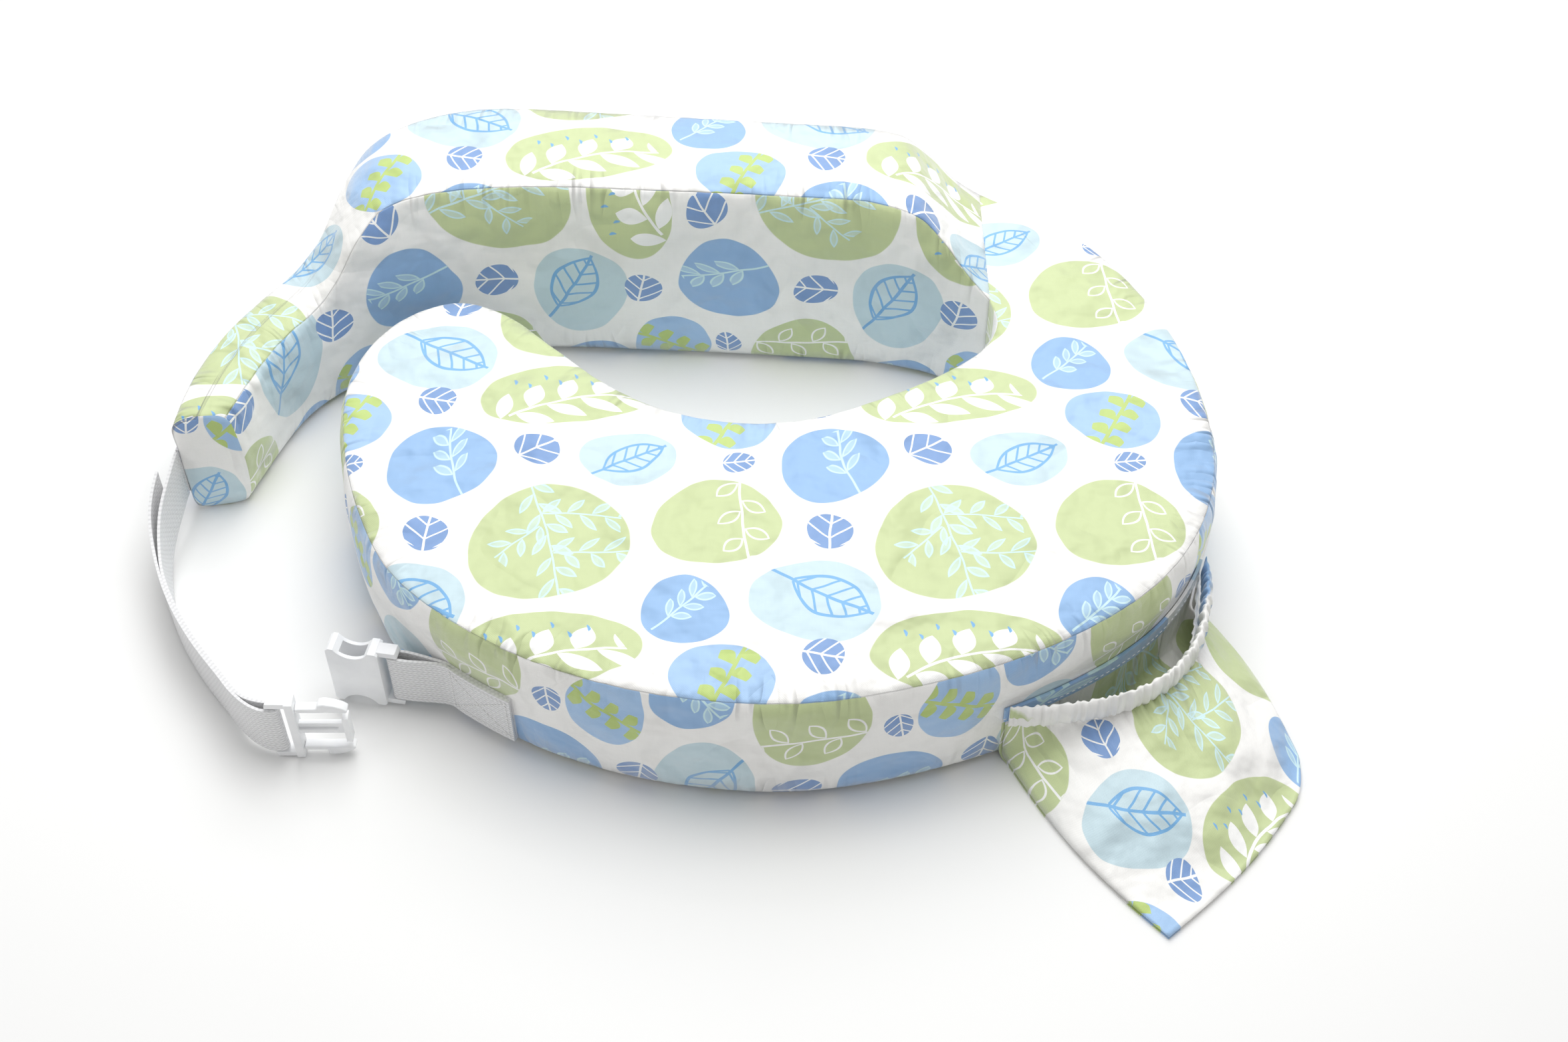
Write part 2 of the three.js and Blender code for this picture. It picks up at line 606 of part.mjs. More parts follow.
function pocketPieces() {
  const wall = pocketPath();
  const first = wall[0];
  const last = wall[wall.length - 1];
  const chord = last.clone().sub(first).normalize();
  const out = new THREE.Vector2(chord.y, -chord.x);
  const hem = 11;
  const underFloor = 0.35;
  const lift = 2.2; // front panel off the back panel where they are sewn together
  const drop = pocketTop - hem;
  const bottomLeft = first.clone().add(new THREE.Vector2(0.571, -0.821).multiplyScalar(pocketDepth));
  const bottomRight = last.clone().add(new THREE.Vector2(0.42, -0.907).multiplyScalar(pocketDepth * 0.92));
  const bottom = (u) => bottomLeft.clone().lerp(bottomRight, u).addScaledVector(out, 7 * Math.sin(Math.PI * u));
  const sideBow = (u, t) => 7 * (2 * u - 1) * Math.abs(2 * u - 1) * Math.sin(Math.PI * t);
  const bend = 0.2; // share of the panel that runs down the shelf's wall
  const radius = 7;
  // Back panel: down the shelf's wall, round to the floor and out to the bottom edge.
  const backPoint = (u, v) => {
    const w = wall[Math.round(u * pocketColumns)];
    if (v < bend) {
      const t = v / bend;
      const turn = Math.max(0, (t - 0.6) / 0.4);
      const z = drop - (drop - radius - underFloor) * Math.min(1, t / 0.6) - radius * Math.sin(turn * Math.PI / 2);
      const away = radius * (1 - Math.cos(turn * Math.PI / 2));
      return new THREE.Vector3(w.x + out.x * away, w.y + out.y * away, z);
    }
    const t = (v - bend) / (1 - bend);
    const p = w.clone().addScaledVector(out, radius).lerp(bottom(u), t).addScaledVector(chord, sideBow(u, t));
    return new THREE.Vector3(p.x, p.y, underFloor);
  };
  const mouth = (u) => wall[Math.round(u * pocketColumns)].clone()
    .addScaledVector(out, lift + pocketMouthOpen * Math.sin(Math.PI * u));
  const frontPoint = (u, v) => {
    const beneath = backPoint(u, v);
    const turned = Math.cos((Math.max(0, Math.min(1, v / bend) - 0.6) / 0.4) * (Math.PI / 2));
    const sewn = beneath.clone().add(new THREE.Vector3(out.x * lift * turned, out.y * lift * turned,
      lift * (1 - turned)));
    const p = mouth(u).lerp(bottom(u), v).addScaledVector(chord, sideBow(u, v));
    const height = drop * (1 - v) ** 0.85 + 5 * Math.sin(Math.PI * v) + underFloor + lift * v;
    const weight = Math.min(1, Math.sin(Math.PI * u) ** 0.55) * (1 - v ** 6);
    return sewn.lerp(new THREE.Vector3(p.x, p.y, height), weight);
  };
  const grid = (point) => Array.from({ length: pocketRows + 1 }, (_, r) =>
    Array.from({ length: pocketColumns + 1 }, (_, c) => point(c / pocketColumns, r / pocketRows)));
  const casing = curve2(wall.map((w, i) => mouth(i / pocketColumns).addScaledVector(out, 2)), 90);
  return [
    named('pocket_back_panel', sheet(grid(backPoint), -cloth), printedCotton()),
    named('pocket_front_panel', sheet(grid(frontPoint), -cloth), printedCotton()),
    named('pocket_back_hem', strip(wall, -1.6, 0, drop + gap, pocketTop), printedCotton()),
    named('pocket_elastic_casing', gatheredBand(casing, drop + 2, pocketTop + 6), printedCotton()),
  ];
}

// The elastic casing: a soft band drawn into small even puckers.
function gatheredBand(path, zLow, zHigh) {
  const normals = pathNormals(path);
  return sweep(path.map((p, i) => {
    const pucker = 0.5 * Math.sin(i * 1.9);
    const ring = [
      [-0.6, zLow], [-1.7 + pucker * 0.6, (zLow + zHigh) / 2], [-0.6, zHigh + pucker],
      [0.6, zHigh + pucker], [1.7 + pucker, (zLow + zHigh) / 2], [0.6, zLow],
    ];
    return ring.map(([off, z]) => {
      const q = p.clone().addScaledVector(normals[i], -off);
      return new THREE.Vector3(q.x, q.y, z);
    });
  }));
}

// ---- zip on the back of the backrest ----
const zipHeight = 32;
const zipTape = 11;
const teethWidth = 5;
const teethThick = 1.6;
// The zip fills the straight stretch of the back.
const zipFrom = planPoint(-134, 326.05);
const zipTo = planPoint(42, 309.87);
const zipLength = zipFrom.distanceTo(zipTo);
const teethBack = 2 * gap + 0.7; // the teeth lie on the two tapes

// Drawn along +X with the teeth facing +Y, then laid on the wall.
function zipPieces() {
  const direction = zipTo.clone().sub(zipFrom).normalize();
  const group = new THREE.Group();
  const tape = (name, low, high) => named(name, block(0, zipLength, gap, gap + 0.7, low, high), zipTapeCloth());
  const half = teethWidth / 2;
  const stop = (name, x) => named(name, block(x, x + 2.5, teethBack, teethBack + 2.4, -half - 0.6, half + 0.6),
    zipMetal());
  group.add(tape('zip_upper_tape', gap / 2, zipTape));
  group.add(tape('zip_lower_tape', -zipTape, -gap / 2));
  group.add(named('zip_teeth', zipTeeth(), zipNylon()));
  group.add(stop('zip_closed_stop', 3));
  group.add(stop('zip_open_stop', zipLength - 5.5));
  group.add(named('zip_slider', zipSlider(), zipMetal()));
  group.add(named('zip_pull_tab', zipPull(), zipMetal()));
  group.rotation.z = Math.atan2(direction.y, direction.x);
  group.position.set(zipFrom.x, zipFrom.y, zipHeight);
  return group;
}

function zipTeeth() {
  const pitch = 2.8;
  const from = 6.5;
  const count = Math.floor((zipLength - from - 7) / pitch);
  const profile = [new THREE.Vector2(from, teethBack)];
  for (let i = 0; i < count; i++) {
    const x = from + i * pitch;
    profile.push(new THREE.Vector2(x, teethBack + teethThick), new THREE.Vector2(x + pitch * 0.6, teethBack + teethThick));
    profile.push(new THREE.Vector2(x + pitch * 0.6, teethBack + 0.8), new THREE.Vector2(x + pitch, teethBack + 0.8));
  }
  profile.push(new THREE.Vector2(from + count * pitch, teethBack));
  return plate(profile, -teethWidth / 2, teethWidth / 2);
}

const sliderAt = 12; // distance of the slider's middle from the zip's closed end
function zipSlider() {
  const crown = teethBack + teethThick + 0.35;
  const w = 4.6;
  const body = uprightPlate([
    [-6, -w + 0.8], [-4.5, -w], [3.5, -w + 0.3], [6, -w + 1.6], [6, w - 1.6], [3.5, w - 0.3], [-4.5, w], [-6, w - 0.8],
  ].map(([x, z]) => new THREE.Vector2(sliderAt + x, z)), crown + 1.1 - teethBack)
    .translate(0, (crown + 1.1 + teethBack) / 2, 0);
  const channel = block(sliderAt - 8, sliderAt + 8, teethBack - 1, crown, -teethWidth / 2 - 0.3, teethWidth / 2 + 0.3);
  const bridge = cut(block(sliderAt - 4, sliderAt + 3, crown + 0.6, crown + 4.1, -1.1, 1.1),
    block(sliderAt - 2.6, sliderAt + 1.6, crown + 1.1, crown + 2.9, -2, 2));
  return joined(cut(body, channel), bridge);
}

// The pull lies along the zip. The end of its eye passes under the slider's bridge.
function zipPull() {
  const crown = teethBack + teethThick + 0.35;
  const outline = [
    [-2, -2.4], [-2, 2.4], [8, 2.9], [10, 2.1], [22, 3.4], [24.5, 2.2], [24.5, -2.2], [22, -3.4], [10, -2.1], [8, -2.9],
  ].map(([x, z]) => new THREE.Vector2(x, z));
  const eye = block(-0.9, 6.5, -2, 2, -1.6, 1.6);
  const grip = block(15, 21, -2, 2, -1.4, 1.4);
  return cut(uprightPlate(outline, 1.1), eye, grip).translate(sliderAt, crown + 2, 0);
}

// A blank folded label sewn into the base seam beside the zip.
function careLabel() {
  const whole = pathLength(outerLine);
  const from = whole * 0.085;
  return strip(stretch(outerLine, from, from + 22, 6), -gap - 0.8, -gap, 2, 34);
}

// ---- whole pillow ----
const pillow = new THREE.Group();
pillow.name = 'nursing_pillow';
pillow.add(...shelfPieces(), ...backrestPieces(), ...strapPieces(), ...tabPieces(), ...buckleHalves(),
  ...pocketPieces(), zipPieces(), named('care_label', careLabel(), satinLabel()));

// The origin is under the middle of the whole part, on the floor.
const extent = new THREE.Box3().setFromObject(pillow, true);
const middle = extent.getCenter(new THREE.Vector3());
for (const piece of pillow.children) piece.position.sub(new THREE.Vector3(middle.x, middle.y, extent.min.z));
export default pillow;
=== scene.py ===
import math
import random

import bmesh
import bpy
import numpy as np
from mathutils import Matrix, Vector, noise
from mathutils.geometry import delaunay_2d_cdt
from mathutils.kdtree import KDTree


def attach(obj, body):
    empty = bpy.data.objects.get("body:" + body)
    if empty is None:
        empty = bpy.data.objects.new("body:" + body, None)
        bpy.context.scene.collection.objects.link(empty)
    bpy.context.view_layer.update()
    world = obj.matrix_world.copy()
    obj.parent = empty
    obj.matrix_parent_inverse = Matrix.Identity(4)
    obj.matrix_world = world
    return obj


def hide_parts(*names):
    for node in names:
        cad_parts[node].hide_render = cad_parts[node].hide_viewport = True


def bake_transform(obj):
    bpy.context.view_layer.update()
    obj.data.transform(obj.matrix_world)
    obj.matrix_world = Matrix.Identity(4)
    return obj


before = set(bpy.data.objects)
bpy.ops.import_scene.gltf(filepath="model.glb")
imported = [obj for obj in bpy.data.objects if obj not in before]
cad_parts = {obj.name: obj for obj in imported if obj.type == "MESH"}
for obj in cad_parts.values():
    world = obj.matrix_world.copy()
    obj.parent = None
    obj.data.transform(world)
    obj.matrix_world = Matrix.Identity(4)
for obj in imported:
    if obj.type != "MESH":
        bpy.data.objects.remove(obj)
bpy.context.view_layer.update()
print("frame loaded")

mm = 0.001
shift = (44.3506, -52.5199)  # the outlines below are drawn about the middle of the shelf's top


def place(x, y, z=0.0):
    return Vector(((x + shift[0]) * mm, (y + shift[1]) * mm, z * mm))


def linked(name, data):
    made = bpy.data.objects.new(name, data)
    bpy.context.collection.objects.link(made)
    return made


# camera and light

view = {"lens": 47.32, "sensor": 36.0, "tilt": 42.0, "at": (0.04435, -0.87267, 1.00087)}
camera = linked("camera", bpy.data.cameras.new("camera"))
camera.data.lens, camera.data.sensor_width = view["lens"], view["sensor"]
camera.location = view["at"]
camera.rotation_euler = (math.radians(view["tilt"]), 0, 0)
bpy.context.scene.camera = camera

lightRig = {
    "sky": 0.38,
    "panels": [  # name, place, aim, width, height, watts
        ("overhead", (0.1, 0.35, 1.5), (0.0, 0.1, 0.0), 1.4, 1.1, 19.5),
        ("behind", (0.2, 1.75, 1.7), (0.0, 0.05, 0.0), 1.8, 1.0, 18.0),
        ("left fill", (-1.6, -0.5, 0.8), (0.0, 0.0, 0.05), 1.0, 1.0, 3.6),
        ("front fill", (0.8, -2.0, 1.2), (0.0, 0.0, 0.0), 2.0, 1.2, 2.0),
    ],
}
bpy.context.scene.view_settings.view_transform = "Standard"


def buildLights():
    world = bpy.data.worlds.new("studio")
    world.use_nodes = True
    background = world.node_tree.nodes["Background"]
    background.inputs["Color"].default_value = (1.0, 1.0, 1.0, 1.0)
    background.inputs["Strength"].default_value = lightRig["sky"]
    bpy.context.scene.world = world
    for name, spot, aim, width, height, watts in lightRig["panels"]:
        data = bpy.data.lights.new(name, "AREA")
        data.shape, data.size, data.size_y, data.energy = "RECTANGLE", width, height, watts
        lamp = linked(name, data)
        lamp.location = spot
        lamp.rotation_euler = (Vector(aim) - Vector(spot)).to_track_quat("-Z", "Y").to_euler()


buildLights()
print("camera and light set")

# tools for node trees: a Wire is a socket that sums can be written with


class Wire:
    def __init__(self, bench, socket):
        self.bench, self.socket = bench, socket

    def clamped(self):  # the sum that made this wire is kept between 0 and 1
        self.socket.node.use_clamp = True
        return self


def letWiresSum():
    for name, operation in (("add", "ADD"), ("sub", "SUBTRACT"), ("mul", "MULTIPLY"), ("truediv", "DIVIDE"),
                            ("mod", "MODULO"), ("gt", "GREATER_THAN"), ("lt", "LESS_THAN"), ("pow", "POWER")):
        setattr(Wire, f"__{name}__", lambda self, other, what=operation: self.bench.math(what, self, other))
    Wire.__rsub__ = lambda self, other: self.bench.math("SUBTRACT", other, self)
    Wire.__abs__ = lambda self: self.bench.math("ABSOLUTE", self)


letWiresSum()


class Bench:
    def __init__(self, tree):
        self.tree, self.column = tree, 0

    def node(self, kind, **settings):
        made = self.tree.nodes.new(kind)
        self.column += 1
        made.location = (self.column % 40 * 170, -(self.column // 40) * 260)
        for key, value in settings.items():
            setattr(made, key, value)
        return made

    def put(self, sockets, *values):
        for socket, value in zip(sockets, values):
            if isinstance(value, Wire):
                self.tree.links.new(value.socket, socket)
            else:
                socket.default_value = value

    def made(self, kind, values, result=0, **settings):
        node = self.node(kind, **settings)
        if isinstance(values, dict):
            self.put([node.inputs[key] for key in values], *values.values())
        else:
            self.put(node.inputs, *values)
        return Wire(self, node.outputs[result])

    def math(self, operation, *values):
        return self.made("ShaderNodeMath", values, operation=operation)

    def vector(self, operation, *values):
        return self.made("ShaderNodeVectorMath", values, "Vector", operation=operation)

    def grown(self, vector, factor):
        return self.made("ShaderNodeVectorMath", {0: vector, "Scale": factor}, "Vector", operation="SCALE")

    def sine(self, value):
        return self.math("SINE", value)

    def split(self, vector):
        node = self.node("ShaderNodeSeparateXYZ")
        self.put(node.inputs, vector)
        return [Wire(self, socket) for socket in node.outputs]

    def join(self, *values):
        return self.made("ShaderNodeCombineXYZ", values)

    def turn(self, vector, angle):
        return self.made("ShaderNodeVectorRotate", {"Vector": vector, "Angle": angle}, rotation_type="Z_AXIS")

    def mix(self, factor, a, b, blend="MIX"):
        return self.made("ShaderNodeMix", {0: factor, 6: a, 7: b}, 2, data_type="RGBA", blend_type=blend)

    def noise(self, vector, scale, detail=2.0, dimensions="3D", result="Fac"):
        values = {"Vector": vector, "Scale": scale, "Detail": detail}
        return self.made("ShaderNodeTexNoise", values, result, noise_dimensions=dimensions)

    def span(self, value, low, high, outLow=0.0, outHigh=1.0):
        return self.made("ShaderNodeMapRange", (value, low, high, outLow, outHigh))

    def group(self, tree, values):
        node = self.node("ShaderNodeGroup", node_tree=tree)
        self.put([node.inputs[key] for key in values], *values.values())
        return {socket.name: Wire(self, socket) for socket in node.outputs}

    def shaded(self, colour, amount):  # a colour made darker by a value
        grey = self.made("ShaderNodeCombineColor", (amount,) * 3)
        return self.mix(1.0, colour, grey, "MULTIPLY")

    def spot(self):  # where the shaded point is on the piece at rest
        return self.made("ShaderNodeTexCoord", (), "Object")

    def cloth(self):
        return self.made("ShaderNodeUVMap", (), uv_map="cloth")

    def give(self, values):  # ends a group
        node = self.node("NodeGroupOutput")
        self.put([node.inputs[key] for key in values], *values.values())
        return self.tree

    def paint(self, colour, roughness=None, height=None, strength=1.0, distance=0.001):  # ends a finish
        shader = self.tree.nodes["Principled BSDF"]
        self.put([shader.inputs["Base Color"]], colour)
        if roughness:
            self.put([shader.inputs["Roughness"]], roughness)
        if height:
            bump = self.made("ShaderNodeBump", {"Strength": strength, "Distance": distance, "Height": height})
            self.put([shader.inputs["Normal"]], bump)


def newGroup(name, inputs, outputs):
    tree = bpy.data.node_groups.new(name, "ShaderNodeTree")
    for label, value in inputs.items():
        kind = "NodeSocketFloat" if isinstance(value, float) else "NodeSocketVector"
        socket = tree.interface.new_socket(label, in_out="INPUT", socket_type=kind)
        if value is not None:
            socket.default_value = value
    for label, kind in outputs.items():
        tree.interface.new_socket(label, in_out="OUTPUT", socket_type="NodeSocket" + kind)
    b = Bench(tree)
    return b, *[Wire(b, socket) for socket in b.node("NodeGroupInput").outputs[:len(inputs)]]


def newFinish(name, roughness, sheen=0.0, others=None):
    finish = bpy.data.materials.new(name)
    finish.use_nodes = True
    given = finish.node_tree.nodes["Principled BSDF"].inputs
    given["Roughness"].default_value = roughness
    if sheen:
        given["Sheen Weight"].default_value = sheen
        given["Sheen Roughness"].default_value = 0.5
    for key, value in (others or {}).items():
        given[key].default_value = value
    return finish, Bench(finish.node_tree)


def srgb(*levels):
    return (*[v / 12.92 if v <= 0.04045 else ((v + 0.055) / 1.055) ** 2.4 for v in (x / 255 for x in levels)], 1.0)


# the printed pattern: pebbles, each with sprigs or a leaf in it, on a repeat

printed = {
    "repeat": (239.0, 203.0), "waver": 3.0, "fill": 0.45,  # mm, mm, and how filled the pale leaves are
    "ground": srgb(250, 249, 246), "green": srgb(198, 211, 158), "blue": srgb(146, 184, 226),
    "aqua": srgb(200, 222, 230), "violet": srgb(124, 158, 208), "sky": srgb(164, 198, 235),
    "white": srgb(252, 252, 250), "pale": srgb(205, 235, 240), "line": srgb(120, 178, 226), "lime": srgb(186, 208, 120),
    # what the numbers of a drawing are
    "sprig": ("Start", "Turn", "Bend", "Length", "First", "Spacing", "Leaf", "Width", "Splay", "Stagger", "Stem",
              "Outline"),
    "leaf": ("Start", "Turn", "Bend", "Length", "Width", "Tail", "Spacing", "Line", "Rim"),
    # a pebble: centre, half width and height, turn, lump, colour, then what is drawn in it
    "pebbles": [
        ((-139, -18), (45, 47), 0.5, 0.4, "green", [
            ("sprig", "pale", (-14, 46, 0), -1.20, -0.0012, 92, 8, 17, 17, 6, 0.75, 0.5, 1.2, 1.2),
            ("sprig", "pale", (-6, 22, 0), 0.02, -0.002, 48, 8, 15, 16, 5.6, 0.8, 0.5, 1.1, 1.1),
            ("sprig", "pale", (4, -8, 0), -0.12, 0.003, 46, 6, 15, 16, 5.6, 0.8, 0.5, 1.1, 1.1),
            ("sprig", "pale", (-6, 12, 0), -2.35, 0.0, 34, 6, 14, 15, 5.4, 0.8, 0.5, 1.1, 1.1)]),
        ((-40, -3), (37, 35), 0.0, 1.2, "green", [
            ("sprig", "white", (13, 34, 0), -1.52, 0.0008, 68, 2, 22, 17, 9.5, 0.95, 0.35, 1.5, 1.3)]),
        ((19, -63), (37, 31), 0.0, 2.2, "aqua", [
            ("leaf", "line", (-12, 14, 0), -0.55, 0.001, 50, 28, 18, 10, 1.9)]),
        ((-209, 45), (32, 33), 0.3, 0.2, "blue", [
            ("sprig", "pale", (16, -26, 0), 2.02, -0.004, 56, 20, 12, 17.5, 6.6, 0.72, 0.15, 1.5, 1.2)]),
        ((-151, 58), (15, 12.5), 0.5, 1.9, "violet", [
            ("leaf", "white", (-12, -5, 0), 0.5, 0.0, 30, 40, 6, 12, 1.3, 0.0)]),
        ((-95, 50), (29, 23), -0.15, 2.8, "aqua", [
            ("leaf", "line", (-14, -9, 0), 0.50, 0.0, 42, 21, 12, 8, 1.6)]),
        ((-28, 47), (9.5, 9), 0.0, 0.5, "violet", [
            ("leaf", "white", (-8, 0, 0), 0.1, 0.0, 20, 30, 4, 6.5, 1.1, 0.0)]),
        ((-137, 106), (54, 27), -0.05, 0.9, "green", [
            ("sprig", "white", (-34, -20, 0), 0.62, -0.0052, 78, 4, 20, 23, 11, 0.85, 0.5, 1.7, 30),
            ("sprig", "line", (-28, 9, 0), 0.3, -0.005, 60, 3, 19, 5, 3.4, 1.45, 0.4, 0, 9)]),
        ((-34, 84), (29, 25), 0.15, 2.4, "sky", [
            ("sprig", "lime", (-10, -22, 0), 1.05, 0.001, 50, 3, 13, 12, 11, 1.15, 0.5, 2.4, 30)]),
        ((27, -10), (13.5, 14), 0.0, 3.1, "violet", [
            ("leaf", "white", (0, -12, 0), 1.50, 0.0, 30, 40, 5, 11, 1.4, 0.0)]),
        ((-57, -70), (26, 24), 0.0, 4.0, "blue", [
            ("sprig", "pale", (-18, -14, 0), 0.72, 0.002, 44, 13, 10, 14, 5.6, 0.72, 0.15, 1.3, 1.1)]),
        ((22, 100), (12.5, 12), 0.3, 5.0, "violet", [
            ("leaf", "white", (-10, 3, 0), -0.2, 0.0, 26, 36, 4, 8.5, 1.3, 0.0)]),
    ],
}
stroke = {"Local": None, "Start": None, "Turn": 0.0, "Bend": 0.0, "Length": 50.0}
heightAndShade = {"Height": "Float", "Shade": "Float"}


def buildPebble():
    b, cloth, centre, size, turn, lump, half = newGroup("pebble", {
        "Cloth": None, "Centre": None, "Size": (30, 30, 1), "Turn": 0.0, "Lump": 0.0,
        "Half Repeat": (printed["repeat"][0] / 2, printed["repeat"][1] / 2, 1e6),
    }, {"Pebble": "Float", "Local": "Vector"})
    local = b.vector("WRAP", b.vector("SUBTRACT", cloth, centre), half, b.grown(half, -1.0))
    x, y, _ = b.split(b.vector("DIVIDE", b.turn(local, turn), size))
    angle = b.math("ARCTAN2", y, x)
    edge = b.sine(angle * 2.0 + lump) * 0.045 + 1.0 + b.sine(angle * 3.0 + lump * 2.3) * 0.04
    inside = edge - b.math("SQRT", x * x + y * y)
    return b.give({"Pebble": (inside * 70.0).clamped(), "Local": local})


def alongStem(b, local, start, turn, bend):
    along, aside, _ = b.split(b.turn(b.vector("SUBTRACT", local, start), turn * -1.0))
    return along, aside - bend * (along * along)


def buildSprig():
    b, local, start, turn, bend, length, *others = newGroup("sprig", {
        **stroke, "First": 8.0, "Spacing": 14.0, "Leaf": 14.0, "Width": 6.0, "Splay": 0.9, "Stagger": 0.0,
        "Stem": 1.4, "Outline": 20.0,
    }, {"Mask": "Float", "Heart": "Float"})
    first, spacing, leaf, width, splay, stagger, thick, outline = others
    along, aside = alongStem(b, local, start, turn, bend)
    off = abs(aside)
    started = along - first + stagger * (aside > 0.0) * spacing
    step = started % spacing
    cosine, sine = b.math("COSINE", splay), b.sine(splay)
    share = (step * cosine + off * sine) / leaf * 2.0 - 1.1
    field = width * 0.5 * (1.0 - share * share) - abs(off * cosine - step * sine)
    hollow = ((field - outline) * 3.0).clamped()
    onLeaves = (started > 0.0) * (along < length)
    stem = (off < thick * 0.5) * ((along > 0.0) * (along < length))
    leaves = ((field * 3.0).clamped() - hollow) * onLeaves
    return b.give({"Mask": b.math("MAXIMUM", leaves, stem), "Heart": hollow * onLeaves})


def buildVeinedLeaf():
    b, local, start, turn, bend, length, width, tail, spacing, line, rimmed = newGroup("veined leaf", {
        **stroke, "Width": 26.0, "Tail": 12.0, "Spacing": 9.0, "Line": 1.6, "Rim": 1.0,
    }, {"Mask": "Float"})
    along, aside = alongStem(b, local, start, turn, bend)
    off = abs(aside)
    share = along / length * 2.0 - 0.9
    field = width * 0.5 * (1.0 - share * share) - off
    rim = (abs(field) < line * 0.6) * rimmed * (along > -2.0)
    rib = (off < line * 0.55) * ((along > tail * -1.0) * (along < length))
    vein = ((along - off * 0.8 + 60.0) % spacing < line) * (field > 0.0)
    return b.give({"Mask": b.math("MAXIMUM", b.math("MAXIMUM", rim, rib), vein)})


def buildPrint():
    pebble, trees = buildPebble(), {"sprig": buildSprig(), "leaf": buildVeinedLeaf()}
    b, cloth = newGroup("leaf print", {"Cloth": None}, {"Colour": "Color", "Ink": "Float"})
    cloth = b.grown(cloth, 1000.0)
    drift = b.vector("SUBTRACT", b.noise(cloth, 0.04, 1.0, "2D", "Color"), (0.5, 0.5, 0.5))
    cloth = b.vector("ADD", cloth, b.grown(drift, printed["waver"]))
    colour, ink = printed["ground"], 0.0
    for centre, size, turn, lump, shade, drawings in printed["pebbles"]:
        out = b.group(pebble, {"Cloth": cloth, "Centre": (*centre, 0), "Size": (*size, 1), "Turn": turn, "Lump": lump})
        inside = out["Pebble"]
        colour, ink = b.mix(inside, colour, printed[shade]), b.math("MAXIMUM", ink, inside)
        for kind, tint, *sizes in drawings:
            drawn = b.group(trees[kind], {"Local": out["Local"], **dict(zip(printed[kind], sizes))})
            if kind == "sprig" and tint == "pale":
                colour = b.mix(drawn["Heart"] * (inside * printed["fill"]), colour, printed["pale"])
            colour = b.mix(drawn["Mask"] * inside, colour, printed[tint])
    return b.give({"Colour": colour, "Ink": ink})


# cloth textures that several finishes share


def buildWeave():
    b, cloth, threads, slub = newGroup("plain weave", {"Cloth": None, "Threads": 1500.0, "Slub": 0.35}, heightAndShade)
    x, y, _ = b.split(cloth)
    warp, weft = (b.sine(way * (threads * math.pi)) for way in (x, y))
    slubs = [b.noise(b.vector("MULTIPLY", cloth, stretch), 1.0, 3.0) for stretch in ((90, 900, 1), (900, 90, 1))]
    uneven = slubs[0] + slubs[1]
    return b.give({"Height": warp * weft * 0.5 + uneven * slub, "Shade": b.span(uneven, 0.6, 1.4, 0.965, 1.0)})


def buildWebWeave():
    b, cloth, ribs, rows = newGroup("webbing weave", {"Cloth": None, "Ribs": 480.0, "Rows": 330.0}, heightAndShade)
    x, y, _ = b.split(cloth)
    row = y * ribs
    slant = (((row + 400.0) % 2.0 > 1.0) - 0.5) * 2.0
    across = b.math("FRACT", row)
    rung = abs(b.sine((x * rows + across * slant * 0.9) * math.pi))
    height = b.sine(across * math.pi) ** 0.6 * (rung * 0.7 + 0.3)
    # Shade is darker where the weave is low: painted shade in the hollows between the ribs
    return b.give({"Height": height, "Shade": b.span(height, 0.0, 0.9, 0.70, 1.0)})


def buildSeams():
    # Edge holds the distance along a seam, the distance from it, and 1 where there is a seam (mm)
    b, edge, reach, depth, bulge, sunk = newGroup("seam puckers", {
        "Edge": None, "Reach": 36.0, "Crease": 2.2, "Swell": 8.0, "Groove": 0.35,
    }, heightAndShade)
    along, away, has = b.split(edge)
    near = (1.0 - away / reach).clamped()
    grain = b.noise(b.join(along * 0.085, away * 0.016), 1.0, 1.0)
    crest = (1.0 - abs(grain - 0.5) * 5.0).clamped()
    stretch = b.span(b.noise(b.join(along * 0.013, 3.0), 1.0, 1.0), 0.4, 0.6, 0.25, 1.0)
    puckers = (grain - 0.5) * bulge * stretch - crest ** 1.3 * depth * stretch
    # the groove sinks the seam line, and Shade darkens it there: painted shade in the groove
    groove = b.span(away, 0.15, 0.8, 1.0, 0.0) * has
    return b.give({"Height": puckers * (near * near * has) - groove * sunk, "Shade": groove * -0.09 + 1.0})


printTree, weaveTree, webTree, seamTree = buildPrint(), buildWeave(), buildWebWeave(), buildSeams()
print("pattern built")

# finishes


def makePrintedCotton():
    finish, b = newFinish("printedCotton", 0.6, 0.6)
    pattern, weave = (b.group(tree, {"Cloth": b.cloth()}) for tree in (printTree, weaveTree))
    seam = b.group(seamTree, {"Edge": b.made("ShaderNodeAttribute", (), "Vector", attribute_name="seam")})
    rumple, ripple = b.noise(b.spot(), 17.0) * 17.0, b.noise(b.spot(), 48.0) * 4.0
    drag = abs(b.noise(b.spot(), 11.0, 1.0) - 0.5) * 17.0
    height = weave["Height"] * 0.06 + (rumple + ripple + drag + seam["Height"])
    # the print is darkened by the weave's uneven threads, and along the seams by painted shade
    b.paint(b.shaded(pattern["Colour"], weave["Shade"] * seam["Shade"]), pattern["Ink"] * -0.04 + 0.6, height)
    return finish


def makeWebbing():
    finish, b = newFinish("whiteWebbing", 0.62, 0.1)
    weave = b.group(webTree, {"Cloth": b.cloth()})
    height = weave["Height"]
    # the webbing's white is darkened by the weave's Shade: painted shade in its hollows
    b.paint(b.shaded(srgb(246, 246, 247), weave["Shade"]), b.span(height, 0.0, 1.0, 0.8, 0.55), height, 0.75, 0.0006)
    return finish


